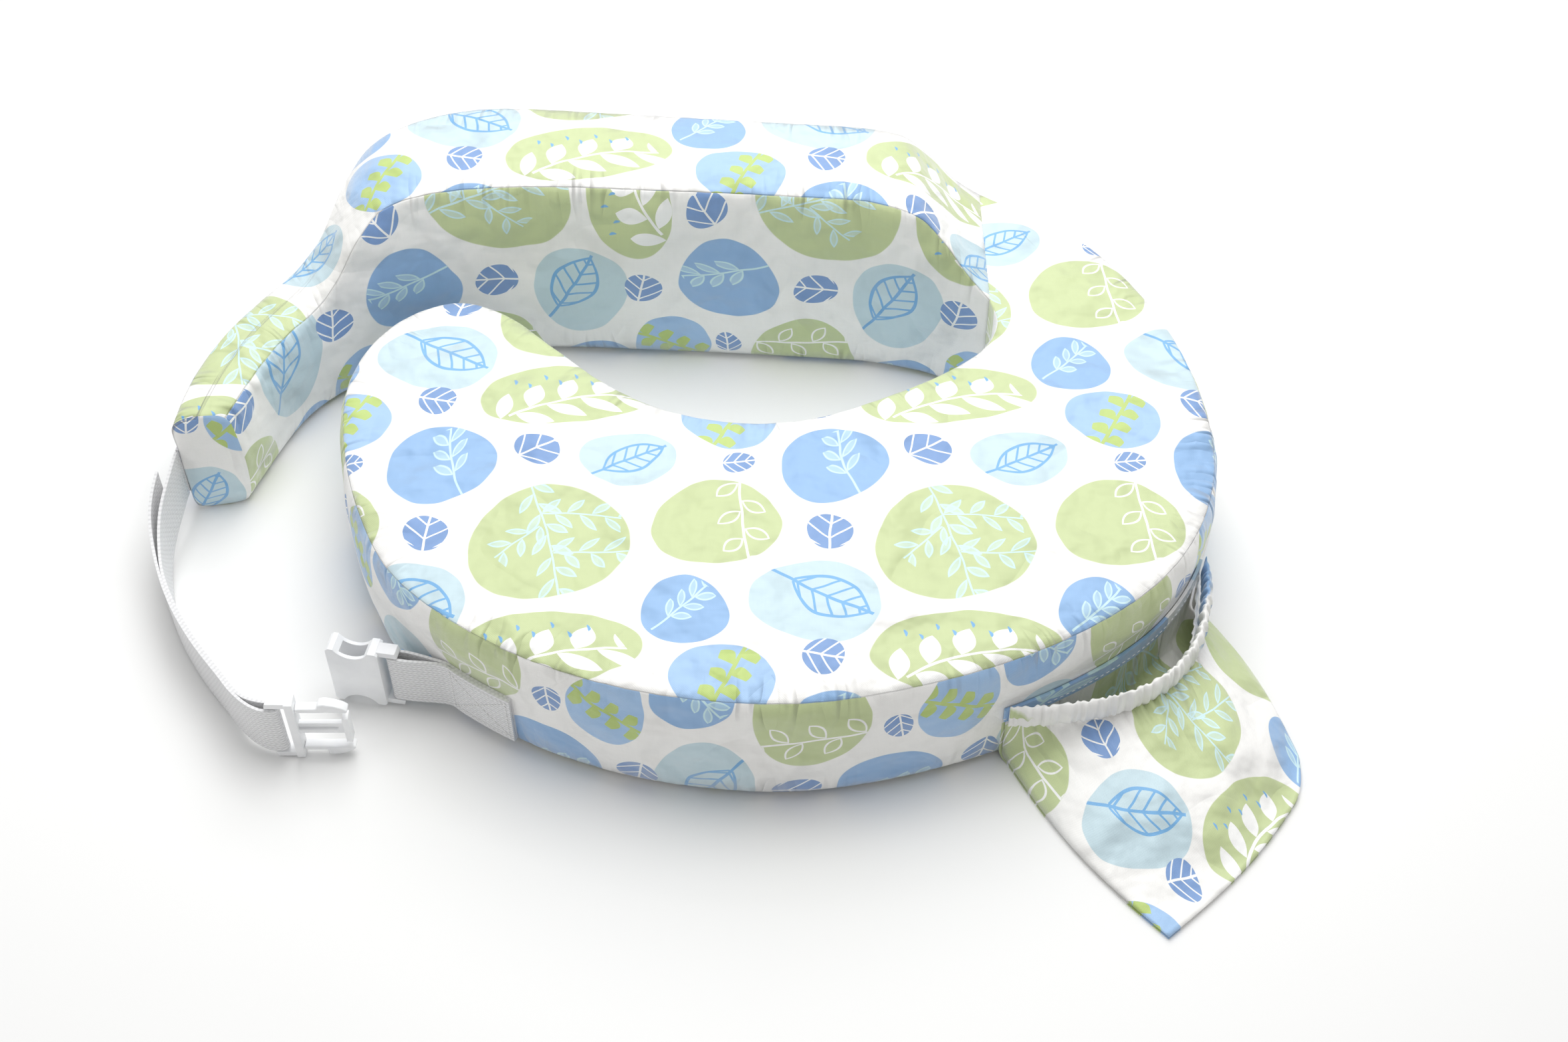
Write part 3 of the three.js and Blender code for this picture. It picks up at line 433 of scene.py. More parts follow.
def makeThread():
    finish, b = newFinish("whiteThread", 0.7, 0.2)
    twist = b.noise(b.spot(), 2400.0)
    b.paint(b.shaded(srgb(250, 250, 248), b.span(twist, 0.3, 0.7, 0.88, 1.0)), None, twist, 0.4, 0.0002)
    return finish


def makePlastic():
    finish, b = newFinish("bucklePlastic", 0.34, others={
        "Subsurface Weight": 0.06, "Subsurface Radius": (0.004, 0.004, 0.0035)})
    broad = b.noise(b.spot(), 60.0)
    colour = b.mix(b.span(broad, 0.35, 0.65), srgb(248, 249, 250), srgb(240, 241, 243))
    b.paint(colour, b.span(broad, 0.3, 0.7, 0.28, 0.42), b.noise(b.spot(), 1900.0, 3.0), 0.08, 0.0002)
    return finish


def makeZipTape():
    finish, b = newFinish("zipTape", 0.85, 0.1)
    rib = b.made("ShaderNodeTexWave", {"Vector": b.spot(), "Scale": 260.0}, "Fac", bands_direction="X")
    height = rib + b.noise(b.spot(), 1500.0)
    # the tape is darker where its ribs and grain are low: painted shade in those hollows
    b.paint(b.shaded(srgb(238, 238, 234), b.span(height, 0.4, 1.6, 0.86, 1.0)), None, height, 0.4, 0.0003)
    return finish


def makeNylon():
    finish, b = newFinish("zipNylon", 0.42)
    fine = b.noise(b.spot(), 900.0)
    colour = b.mix(b.span(fine, 0.3, 0.7), srgb(236, 236, 232), srgb(222, 223, 220))
    b.paint(colour, b.span(fine, 0.3, 0.7, 0.34, 0.5))
    return finish


def makeZipMetal():
    finish, b = newFinish("zipMetal", 0.3, others={"Metallic": 1.0})
    fine = b.noise(b.spot(), 700.0, 4.0)
    colour = b.mix(fine, srgb(205, 206, 210), srgb(178, 180, 186))
    b.paint(colour, b.span(fine, 0.3, 0.7, 0.22, 0.42), fine, 0.08, 0.0002)
    return finish


def makeSatin():
    finish, b = newFinish("labelSatin", 0.45, 0.4)
    weave = b.group(weaveTree, {"Cloth": b.spot(), "Threads": 2400.0})
    b.paint(b.shaded(srgb(250, 250, 247), weave["Shade"]), None, weave["Height"], 0.2, 0.0002)
    return finish


def makeFloor():
    finish, b = newFinish("paleFloor", 0.7)
    b.paint(b.mix(b.noise(b.spot(), 3.0), srgb(240, 240, 239), srgb(237, 237, 236)))
    return finish


cotton, webbingFinish, threadFinish, plastic = makePrintedCotton(), makeWebbing(), makeThread(), makePlastic()
tapeFinish, nylonFinish, metalFinish, satinFinish = makeZipTape(), makeNylon(), makeZipMetal(), makeSatin()
print("finishes built")

# outlines and mesh helpers


def walkedLengths(line):
    return np.r_[0, np.cumsum(np.linalg.norm(np.diff(line, axis=0), axis=1))]


def sampled(line, walked, at):
    return np.column_stack([np.interp(at, walked, way) for way in line.T])


def evenly(line, step):
    walked = walkedLengths(line)
    return sampled(line, walked, np.linspace(0, walked[-1], max(2, int(round(walked[-1] / step))) + 1))


def smoothCurve(points, step):
    pts = [np.array(p, float) for p in points]
    pts = [2 * pts[0] - pts[1]] + pts + [2 * pts[-1] - pts[-2]]
    line = []
    for i in range(1, len(pts) - 2):
        t = [0.0]
        for a, b in ((i - 1, i), (i, i + 1), (i + 1, i + 2)):
            t.append(t[-1] + max(np.linalg.norm(pts[b] - pts[a]), 1e-9) ** 0.5)
        for s in np.linspace(t[1], t[2], 24, endpoint=False):
            a1 = [((t[k + 1] - s) * pts[i - 1 + k] + (s - t[k]) * pts[i + k]) / (t[k + 1] - t[k]) for k in range(3)]
            b1 = [((t[k + 2] - s) * a1[k] + (s - t[k]) * a1[k + 1]) / (t[k + 2] - t[k]) for k in range(2)]
            line.append(((t[2] - s) * b1[0] + (s - t[1]) * b1[1]) / (t[2] - t[1]))
    line.append(pts[-2])
    return evenly(np.array(line), step)


def leftNormals(line, closed=False):
    along = np.roll(line, -1, axis=0) - np.roll(line, 1, axis=0) if closed else np.gradient(line, axis=0)
    along = along[:, :2] / np.linalg.norm(along[:, :2], axis=1)[:, None]
    return np.column_stack([-along[:, 1], along[:, 0]])


def normalsTowards(line, way):
    normals = leftNormals(line)
    return np.array([n if n @ w > 0 else -n for n, w in zip(normals, np.broadcast_to(way, normals.shape))])


def unit(vector):
    return vector / np.linalg.norm(vector)


def meshObject(name, points, faces, finish, uvs, seam=None):
    mesh = bpy.data.meshes.new(name)
    mesh.from_pydata([tuple(place(*p)) for p in points], [], [tuple(f) for f in faces])
    flat = np.array([pair for face in uvs for pair in face]) * mm
    mesh.uv_layers.new(name="cloth").data.foreach_set("uv", flat.astype(np.float32).ravel())
    if seam is not None:
        edge = mesh.attributes.new("seam", "FLOAT_VECTOR", "POINT").data
        edge.foreach_set("vector", np.array(seam, dtype=np.float32).ravel())
    mesh.validate()
    mesh.shade_smooth()
    mesh.materials.append(finish)
    return linked(name, mesh)


def tubeFaces(rings, size, clothAt):  # faces between rings of points, and their cloth
    faces, uvs = [], []
    for i in range(rings - 1):
        for k in range(size):
            n = (k + 1) % size
            faces.append((i * size + k, i * size + n, (i + 1) * size + n, (i + 1) * size + k))
            uvs.append([clothAt(ii, kk, k) for ii, kk in ((i, k), (i, k + 1), (i + 1, k + 1), (i + 1, k))])
    return faces, uvs


def applied(piece):
    bpy.context.view_layer.update()
    baked = bpy.data.meshes.new_from_object(piece.evaluated_get(bpy.context.evaluated_depsgraph_get()))
    piece.modifiers.clear()
    old, piece.data = piece.data, baked
    baked.name = old.name
    bpy.data.meshes.remove(old)
    return piece


def smoothed(piece, levels=1):
    mod = piece.modifiers.new("smooth", "SUBSURF")
    mod.levels = mod.render_levels = levels
    return applied(piece)


def outwards(piece, work=None):  # turns the faces outwards, then works on the edges
    bm = bmesh.new()
    bm.from_mesh(piece.data)
    bmesh.ops.recalc_face_normals(bm, faces=bm.faces)
    if work:
        work(bm)
    bm.to_mesh(piece.data)
    bm.free()
    return piece


def fitted(piece, body, slot, *nodes):
    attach(piece, body)
    if nodes:
        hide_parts(*nodes)
    return piece


def rough(x, y, z, scale, seed=0.0):
    return noise.noise(Vector((x * scale + seed, y * scale - seed * 0.7, z * scale + seed * 1.3)))


def kept(value):
    return max(0.0, min(1.0, value))


class Folds:  # soft folds that run away from a seam
    def __init__(self, length, spacing, depth, reach, width, seed, busy=()):
        rng = random.Random(seed)
        self.folds = []
        at = 0.0
        while at < length:
            strength = max([1.0] + [gain for lo, hi, gain in busy if lo < at < hi])
            self.folds.append((at, rng.uniform(0.25, 1.0) * depth * strength,
                               rng.uniform(0.4, 1.2) * reach * strength ** 0.5,
                               rng.uniform(0.7, 1.4) * width, rng.uniform(-0.5, 0.5)))
            at += rng.uniform(0.5, 1.5) * spacing / strength ** 0.5

    def depthAt(self, s, d):
        total = 0.0
        for at, depth, reach, width, tilt in self.folds:
            if d > reach * 2.5:
                continue
            off = (s - at - tilt * d) / (width * (0.6 + 0.5 * d / reach))
            if abs(off) < 3:
                total += depth * math.exp(-off * off) * math.exp(-((d / reach) ** 2)) * min(1.0, 0.15 + d / 10.0)
        return total


# what both covers share (mm)

sewing = {
    "inset": 1.6,  # how far the seams stand inside the foam's outline
    "low": 2.6, "under": 0.3,  # heights of the lower seam and of the underside
    "clear": 60.0,  # a distance from a seam at which the cloth has no puckers
}
heldOnShelf = [((-199, -69), (-162, -92)), ((127, -106), (160, -90)), ((160, -90), (216, -50)), ((216, -50), (247, -8)),
               ((247, -8), (256, 10))]
heldOnBand = [((-134, 326), (42, 310)), ((-384, 120), (-386, 92))]


def heldFactor(point, spots):
    # cloth lies flat where something is sewn to it
    best = 1e9
    for (ax, ay), (bx, by) in spots:
        t = kept(((point[0] - ax) * (bx - ax) + (point[1] - ay) * (by - ay)) / ((bx - ax) ** 2 + (by - ay) ** 2))
        best = min(best, math.hypot(point[0] - ax - t * (bx - ax), point[1] - ay - t * (by - ay)))
    return kept((best - 3) / 26.0)


def seamPull(depth, tall):  # how far a wall is drawn in beside its two seams
    return sewing["inset"] * (max(0.0, 1 - depth / 5.0) ** 1.6 + max(0.0, 1 - (tall - depth) / 7.0) ** 1.6)


def rounded(rounding, distance):  # how far a top lies under its full height near the seam
    return rounding * max(0.0, 1 - distance / 11.0) ** 2.2


def insideLoop(point, loop):
    x, y = point
    x0, y0 = loop[:, 0], loop[:, 1]
    x1, y1 = np.roll(x0, -1), np.roll(y0, -1)
    crossing = ((y0 > y) != (y1 > y)) & (x < (x1 - x0) * (y - y0) / np.where(y1 == y0, 1e-12, y1 - y0) + x0)
    return bool(np.count_nonzero(crossing) % 2)


def gridInside(loop, tree, across, up, gap, stagger=0.0):
    # points of a plain grid that lie inside a loop and further than a gap from it
    found = []
    (left, near), (right, far) = shelf["grid"]
    for row, y in enumerate(np.arange(near, far, up)):
        for x in np.arange(left + stagger * (row % 2), right, across):
            if insideLoop((x, y), loop) and tree.find((x, y, 0))[2] > gap:
                found.append((x, y))
    return found


def panelOver(plan, rim, facesUp):
    edges = [(i, (i + 1) % rim) for i in range(rim)]
    corners, _, faces, _, _, _ = delaunay_2d_cdt([Vector(p) for p in plan], edges, [], 1, 1e-5)
    turned = []
    for face in faces:
        a, b, c = (corners[k] for k in face)
        turned.append(list(face) if ((b - a).cross(c - a) > 0) == facesUp else list(reversed(face)))
    return corners, turned


# the shelf's cover

shelf = {
    "height": 90.0, "grain": 7.0, "rounding": 2.2, "crown": 2.2, "bulge": 4.0, "wallRows": 15,
    "jointX": 135.25, "jointLow": 195.0, "jointHigh": 305.0, "grid": ((-285.0, -140.0), (272.0, 310.0)),
    # spacing, depth, reach, width and seed of the folds
    "wallFolds": (15.0, 3.0, 22.0, 4.6, 11), "topFolds": (20.0, 1.5, 13.0, 4.5, 5),
    "busy": [(760, 840, 2.3), (700, 760, 1.5), (30, 110, 1.7), (150, 420, 1.25)],  # where folds crowd: from, to, gain
    "edge": [
        (135.25, 305), (169, 286), (205, 256), (237, 205), (257, 150), (266, 90), (264, 42), (247, -8), (216, -50),
        (160, -90), (90, -119), (10, -135), (-70, -129), (-141, -106), (-195, -73), (-232, -38), (-256, 8), (-272, 60),
        (-278, 112), (-269, 153), (-247, 183), (-215, 197), (-183, 186), (-148, 154), (-113, 121), (-76, 98), (-30, 86),
        (15, 89), (60, 107), (104, 132), (129, 154), (139, 176), (135.25, 195),
    ],
}


def wallCloth(s, z):
    # the fabric of the walls was cut turned a quarter: its length runs round the pillow
    return (33.0 - z, -s + 841.0)


def buildShelfCover():
    grain, height, rounding, jointX = shelf["grain"], shelf["height"], shelf["rounding"], shelf["jointX"]
    inset, lowZ, under, clear = sewing["inset"], sewing["low"], sewing["under"], sewing["clear"]
    curve = smoothCurve(shelf["edge"], grain)
    joint = [(jointX, y) for y in np.linspace(shelf["jointLow"], shelf["jointHigh"], 17)[1:-1]]
    loop = np.vstack([curve, joint])
    free, count = len(curve), len(loop)
    inward = -leftNormals(loop, closed=True)
    if not insideLoop(loop[20] + inward[20] * 3, loop):
        inward = -inward
    inward[free:] = inward[0] = inward[free - 1] = (1.0, 0.0)
    walked = walkedLengths(loop)
    fromJoint = np.hypot(loop[:, 0] - jointX, loop[:, 1] - np.clip(loop[:, 1], shelf["jointLow"], shelf["jointHigh"]))
    joined = np.clip((fromJoint - 2) / 40, 0, 1)  # 0 at the joint, 1 away from it
    wallFolds, topFolds = (Folds(walked[-1], *shelf[kind], shelf["busy"]) for kind in ("wallFolds", "topFolds"))
    seamZ = height - rounding
    tall = seamZ - lowZ
    points, seam, faces, uvs = [], [], [], []

    def add(x, y, z, s, distance):
        points.append((x, y, z))
        seam.append((s, distance, 1))
        return len(points) - 1

    ring = loop + inward * inset * joined[:, None]
    topSeam = [add(*p, seamZ + (1 - keep) * rounding - 0.35 * keep * (1 + math.sin(s / 3.1)), s, (1 - keep) * clear)
               for p, keep, s in zip(ring, joined, walked)]
    # top panel: rows that follow the seam, then a plain grid
    tree = KDTree(count)
    for i, p in enumerate(loop):
        tree.insert((*p, 0), i)
    tree.balance()
    plan = [tuple(p) for p in ring]
    for distance in (3.0, 7.0, 12.5):
        plan += [tuple(q) for q in loop + inward * distance
                 if tree.find((*q, 0))[2] > distance * 0.8 and insideLoop(q, loop)]
    plan += gridInside(loop, tree, grain, grain * 0.866, 12.5 + grain * 0.7, grain / 2)
    corners, tris = panelOver(plan, count, True)
    top = list(topSeam)
    for v in corners[count:]:
        nearest, i, _ = tree.find((v.x, v.y, 0))
        distance = math.hypot(v.x - nearest.x, v.y - nearest.y)
        z = height - rounded(rounding, distance) * joined[i] + shelf["crown"] * min(1.0, distance / 60.0) ** 0.8
        z -= topFolds.depthAt(walked[i], distance) * joined[i]
        z += 0.8 * rough(v.x, v.y, 0, 0.013, 3.0) + 0.35 * rough(v.x, v.y, 0, 0.045, 9.0)
        top.append(add(v.x, v.y, z, walked[i], distance + (1 - joined[i]) * clear))
    faces += [[top[k] for k in tri] for tri in tris]
    uvs += [[tuple(corners[k]) for k in tri] for tri in tris]
    # side walls
    held = [heldFactor(p, heldOnShelf) for p in loop]
    rows = shelf["wallRows"]
    wall = [topSeam]
    for r in range(1, rows):
        share, depth, line = r / rows, r / rows * tall, []
        for (x, y), keep, s, hold, way in zip(loop, joined, walked, held, inward):
            belly = shelf["bulge"] * math.sin(math.pi * share) ** 0.55 * keep
            fold = (wallFolds.depthAt(s, depth) + 0.45 * wallFolds.depthAt(s + 9, tall - depth)) * keep
            drift = 1.4 * rough(x, y, depth, 0.02, 21.0) * keep * math.sin(math.pi * share)
            hold += (1 - hold) * kept((seamZ - depth - 52) / 16.0)
            out = (belly - fold + drift) * hold - seamPull(depth, tall) * keep
            line.append(add(x - way[0] * out, y - way[1] * out, seamZ + (1 - keep) * rounding - depth,
                            s, min(depth, tall - depth) + (1 - keep) * clear))
        wall.append(line)
    bottom = [add(*p, lowZ * keep + under * (1 - keep), s, (1 - keep) * clear)
              for p, keep, s in zip(ring, joined, walked)]
    wall.append(bottom)
    for r in range(rows):
        for i in range(count):
            j = (i + 1) % count
            faces.append([wall[r][i], wall[r][j], wall[r + 1][j], wall[r + 1][i]])
            after = walked[j] if j else walked[-1] + grain
            uvs.append([wallCloth(s, seamZ * (1 - row / rows)) for s, row in
                        ((walked[i], r), (after, r), (after, r + 1), (walked[i], r + 1))])
    # underside
    corners, tris = panelOver([tuple(p) for p in ring] + gridInside(loop, tree, 17.0, 15.0, 10.0), count, False)
    low = bottom + [add(v.x, v.y, under, 0, clear) for v in corners[count:]]
    faces += [[low[k] for k in tri] for tri in tris]
    uvs += [[tuple(corners[k]) for k in tri] for tri in tris]

    def creased(bm):
        crease = bm.edges.layers.float.new("crease_edge")
        rims, jointAt = (set(topSeam), set(bottom)), place(jointX, 0).x
        for e in bm.edges:
            if any({v.index for v in e.verts} <= rim for rim in rims):
                e[crease] = 0.75
            if all(abs(v.co.x - jointAt) < 2e-4 for v in e.verts):
                e[crease] = 1.0

    return outwards(meshObject("shelfCover", points, faces, cotton, uvs, seam), creased)


# the backrest's cover

band = {
    "grain": 7.0, "rounding": 2.2, "bulge": 4.5, "wallRows": 17, "topColumns": 13, "lowColumns": 6, "endPuff": 6.0,
    "stations": [  # inner x, y, outer x, y and height, from the joint round the back to the low end
        (135.6, 195, 135.6, 305, 90), (121, 206, 118, 307, 102.8), (105, 214, 100, 308, 124.2),
        (88, 220, 82, 308, 141), (60, 227, 62, 308, 147), (45, 229, 45, 309.6, 148), (10, 232, 10, 312.8, 148),
        (-40, 236, -40, 317.4, 148), (-90, 239, -90, 322, 148), (-140, 242, -140, 326.6, 148),
        (-180, 242, -167, 329, 148), (-212, 239, -205, 329, 148), (-240, 233, -246, 318, 147),
        (-262, 225, -278, 298, 142), (-280, 215, -299, 272, 122), (-294, 205, -313, 251, 99),
        (-308, 193, -330, 233, 85), (-321, 177, -349, 208, 82), (-331, 157, -366, 177, 82),
        (-339, 135, -378, 143, 82), (-346, 114, -384, 114, 81), (-351, 99, -386, 92, 80),
    ],
    # spacing, depth, reach, width and seed of the folds, then where they crowd: from, to, gain
    "innerFolds": (19.0, 3.0, 30.0, 6.0, 31), "outerFolds": (20.0, 2.8, 24.0, 5.5, 37),
    "topFolds": (22.0, 1.7, 14.0, 5.0, 41),
    "innerBusy": [(0, 60, 1.9), (300, 400, 1.6)], "outerBusy": [(0, 60, 1.7), (300, 420, 1.7)],
    "topBusy": [(0, 70, 2.2), (300, 400, 1.8)], "endBusy": (150, 1.2),
}


def bandEdge(x, y):
    # both edges are matched by the share of the way between their own stations
    stations = [(s[x], s[y], s[4]) for s in band["stations"]]
    line = smoothCurve(stations, 0.5)
    walked = walkedLengths(line)
    marks = [0.0] + [walked[np.argmin(np.linalg.norm(line[:, :2] - s[:2], axis=1))] for s in stations[1:]]
    return sampled(line, walked, np.interp(np.linspace(0, len(marks) - 1, 4000), np.arange(len(marks)), marks))


def endCloth(p):
    return (p[2] + 130.0, p[0] + 18.0)


def buildBandCover():
    inset, low, under, clear = sewing["inset"], sewing["low"], sewing["under"], sewing["clear"]
    edges = [bandEdge(0, 1), bandEdge(2, 3)]
    walked = walkedLengths((edges[0] + edges[1]) / 2)
    at = np.linspace(0, walked[-1], int(walked[-1] / band["grain"]) + 1)
    inner, outer = (sampled(line, walked, at) for line in edges)
    count = len(inner)
    si, so = walkedLengths(inner[:, :2]), walkedLengths(outer[:, :2])
    across = outer[:, :2] - inner[:, :2]
    width = np.linalg.norm(across, axis=1)
    across /= width[:, None]
    inN, outN = normalsTowards(inner[:, :2], -across), normalsTowards(outer[:, :2], across)
    joined = np.clip((si - 1) / 45.0, 0, 1)  # 0 at the joint, 1 away from it
    # the top panel's cloth is longer than its plan where it climbs, so the print slides along it
    middle = (inner + outer) / 2
    steps = np.diff(middle, axis=0)
    plain = np.linalg.norm(steps[:, :2], axis=1)
    longer = (np.hypot(plain, steps[:, 2]) - plain) / plain
    slide = np.vstack([[0, 0], np.cumsum(steps[:, :2] * longer[:, None], axis=0)])
    slide -= slide[np.argmin(np.abs(middle[:, 0] + 50))]
    reach, gain = band["endBusy"]
    innerFolds = Folds(si[-1], *band["innerFolds"], band["innerBusy"] + [(si[-1] - reach, si[-1], gain)])
    outerFolds = Folds(so[-1], *band["outerFolds"], band["outerBusy"])
    topFolds = Folds(si[-1], *band["topFolds"], band["topBusy"])
    rows, columns, lowColumns = band["wallRows"], band["topColumns"], band["lowColumns"]
    points, seam = [], []

    def add(x, y, z, s, distance, has=1):
        points.append((x, y, z))
        seam.append((s, distance, has))
        return len(points) - 1

    for i in range(count):
        keep = joined[i]
        top = min(inner[i][2], outer[i][2])
        seamZ, lowZ = top - band["rounding"] * keep, low * keep + under * (1 - keep)
        tall, share = seamZ - lowZ, top / 148.0
        a = inner[i][:2] + across[i] * inset * keep
        b = outer[i][:2] - across[i] * inset * keep

        def wall(rowShares, edge, base, normal, s, folds, seed, wave, spots):
            for t in rowShares:
                depth = t * tall
                if t in (0, 1):
                    z = lowZ if t else seamZ - 0.3 * keep * (1 + math.sin(s / wave))
                    add(*edge, z, s, 0.0)
                    continue
                belly = band["bulge"] * (0.7 + 0.6 * share) * math.sin(math.pi * t) ** 0.6 * keep
                fold = (folds.depthAt(s, depth) + 0.4 * folds.depthAt(s + 7, tall - depth)) * keep
                broad = (6.0 * rough(base[0] + 0.55 * depth, base[1], depth * 0.25, 0.016, seed)
                         + 1.2 * rough(*base, depth, 0.04, seed + 4)) * keep * math.sin(math.pi * t) ** 0.8 * share
                hold = heldFactor(base, spots)
                hold += (1 - hold) * kept((seamZ - depth - 58) / 20.0)
                p = base + normal * ((belly - fold + broad) * hold - seamPull(depth, tall) * keep)
                add(*p, seamZ - depth, s, min(t, 1 - t) * tall)

        down = [r / rows for r in range(rows + 1)]
        wall([1 - t for t in down], a, inner[i][:2], inN[i], si[i], innerFolds, 50.0, 3.0, [])
        for c in range(1, columns):
            u = c / columns
            p = a + (b - a) * u
            distance, s = width[i] * min(u, 1 - u), si[i] if u < 0.5 else so[i]
            z = 2.0 * math.sin(math.pi * u) - topFolds.depthAt(s + (0 if u < 0.5 else 13), distance)
            z += 1.0 * rough(*p, 0, 0.02, 71.0) + 0.3 * rough(*p, 0, 0.06, 77.0) - rounded(band["rounding"], distance)
            add(*p, top + z * keep, s, distance)
        wall(down, b, outer[i][:2], outN[i], so[i], outerFolds, 60.0, 3.3, heldOnBand)
        for c in range(1, lowColumns):
            add(*(b + (a - b) * c / lowColumns), under, so[i], clear)
    size = len(points) // count
    inTop, outTop, outLow = rows, rows + columns, 2 * rows + columns
    # the pattern was lined up from the low end, so distances are counted from there
    backIn, backOut = si[-1] - si, so[-1] - so

    def clothAt(i, k, side):
        x, y, z = points[i * size + k % size]
        if side < inTop:
            return (z - 45.0, -0.935 * backIn[i] + 2.0)
        if side < outTop:
            return (x + slide[i][0] - 6.0, y + slide[i][1] - 169.0)
        if side < outLow:
            return (-z + 20.0, backOut[i] + 40.0)
        return (x, y)

    faces, uvs = tubeFaces(count, size, clothAt)

    # the joint end is flat; the low end is a puffed panel
    def closeEnd(start, puff, direction, flip):
        first = last = [start + k for k in range(size)]
        centre = np.mean([points[k] for k in first], axis=0)
        for share in (0.1, 0.28, 0.5, 0.75, 1.0):
            now = []
            for p in [np.array(points[k]) for k in (first if share < 1 else first[:1])]:
                q = p + (centre - p) * share
                q[:2] += direction * puff * (1 - (1 - share) ** 3)
                now.append(add(*q, si[start // size], share * 40, 1 if flip and share < 1 else 0))
            for k in range(size):
                n = (k + 1) % size
                face = [last[k], last[n]] + ([now[n], now[k]] if share < 1 else now)
                faces.append(face[::-1] if flip else face)
                uvs.append([endCloth(points[j]) for j in faces[-1]])
            last = now

    closeEnd(0, 0.0, np.array([1.0, 0.0]), True)
    endWay = inner[-1][:2] - inner[-3][:2] + outer[-1][:2] - outer[-3][:2]
    closeEnd((count - 1) * size, band["endPuff"], unit(endWay), False)

    def creased(bm):
        crease = bm.edges.layers.float.new("crease_edge")
        for e in bm.edges:
            a, b = (v.index for v in e.verts)
            if max(a, b) >= count * size:
                continue
            if max(a, b) < size:
                e[crease] = 1.0
            elif a % size == b % size and a % size in (0, inTop, outTop, outLow):
                e[crease] = 0.75
            elif min(a, b) >= (count - 1) * size:
                e[crease] = 0.5

    return outwards(meshObject("bandCover", points, faces, cotton, uvs, seam), creased)


shelfCover = smoothed(buildShelfCover())
fitted(shelfCover, "shelf", "printed_cotton",
       "shelf_foam", "shelf_top_panel", "shelf_base_panel", "shelf_outer_wall", "shelf_torso_wall")
print("shelf cover made", len(shelfCover.data.polygons))

bandCover = smoothed(buildBandCover())
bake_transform(bandCover)
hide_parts("backrest_foam", "backrest_base_panel", "backrest_top_panel", "backrest_inner_wall",
            "backrest_outer_wall", "backrest_end_panel")
print("backrest cover made", len(bandCover.data.polygons))

# stitches: short threads set along a line


def buildStitchTree():
    tree = bpy.data.node_groups.new("stitch row", "GeometryNodeTree")
    for label, kind, value in (("Line", "Geometry", None), ("Pitch", "Float", 0.003), ("Length", "Float", 0.0022),
                               ("Thickness", "Float", 0.0007), ("Finish", "Material", None)):
        socket = tree.interface.new_socket(label, in_out="INPUT", socket_type="NodeSocket" + kind)
        if value:
            socket.default_value = value
    tree.interface.new_socket("Stitches", in_out="OUTPUT", socket_type="NodeSocketGeometry")
    b = Bench(tree)
    line, pitch, length, thickness, finish = [Wire(b, socket) for socket in b.node("NodeGroupInput").outputs[:5]]
    spaced = b.made("GeometryNodeResampleCurve", {"Curve": line, "Length": pitch}, mode="LENGTH")
    thread = b.made("GeometryNodeMeshUVSphere", {"Segments": 6, "Rings": 5, "Radius": 0.5})
    shaped = b.made("GeometryNodeTransform", {"Geometry": thread, "Scale": b.join(length, thickness, thickness)})
    aim = b.made("FunctionNodeAlignRotationToVector", {"Vector": b.made("GeometryNodeInputTangent", ())}, axis="X")
    row = b.made("GeometryNodeInstanceOnPoints", {"Points": spaced, "Instance": shaped, "Rotation": aim})
    real = b.made("GeometryNodeRealizeInstances", (row,))
    return b.give({"Stitches": b.made("GeometryNodeSetMaterial", {"Geometry": real, "Material": finish})})


stitchTree = buildStitchTree()


def sewnLine(name, lines, body, nodes=(), pitch=3.0, length=2.3, thickness=0.7, finish=threadFinish, slot="thread"):
    curve = bpy.data.curves.new(name, "CURVE")
    curve.dimensions = "3D"
    for line in lines:
        spline = curve.splines.new("POLY")
        spline.points.add(len(line) - 1)
        for point, p in zip(spline.points, line):
            point.co = (*place(*p), 1.0)
    holder = linked(name + "Line", curve)
    mod = holder.modifiers.new("stitches", "NODES")
    mod.node_group = stitchTree
    values = {"Pitch": pitch * mm, "Length": length * mm, "Thickness": thickness * mm, "Finish": finish}
    for item in stitchTree.interface.items_tree:
        if item.in_out == "INPUT" and item.name in values:
            mod[item.identifier] = values[item.name]
    bpy.context.view_layer.update()
    mesh = bpy.data.meshes.new_from_object(holder.evaluated_get(bpy.context.evaluated_depsgraph_get()))
    mesh.name = name
    mesh.shade_smooth()
    bpy.data.objects.remove(holder)
    return fitted(linked(name, mesh), body, slot, *nodes)


# webbing

web = {
    "width": 38.0, "thick": 1.5, "bar": 2.2, "air": 0.35, "sewn": 26.0,
    "rootHeight": 36.08, "plugHeight": 25.3, "tabHeight": 26.1, "plugBar": (-296.0, -103.0),
    "socketBar": (-231.0, -65.5), "socketTurn": 170.0,
}
turnRadius = web["bar"] + web["air"] + web["thick"] / 2


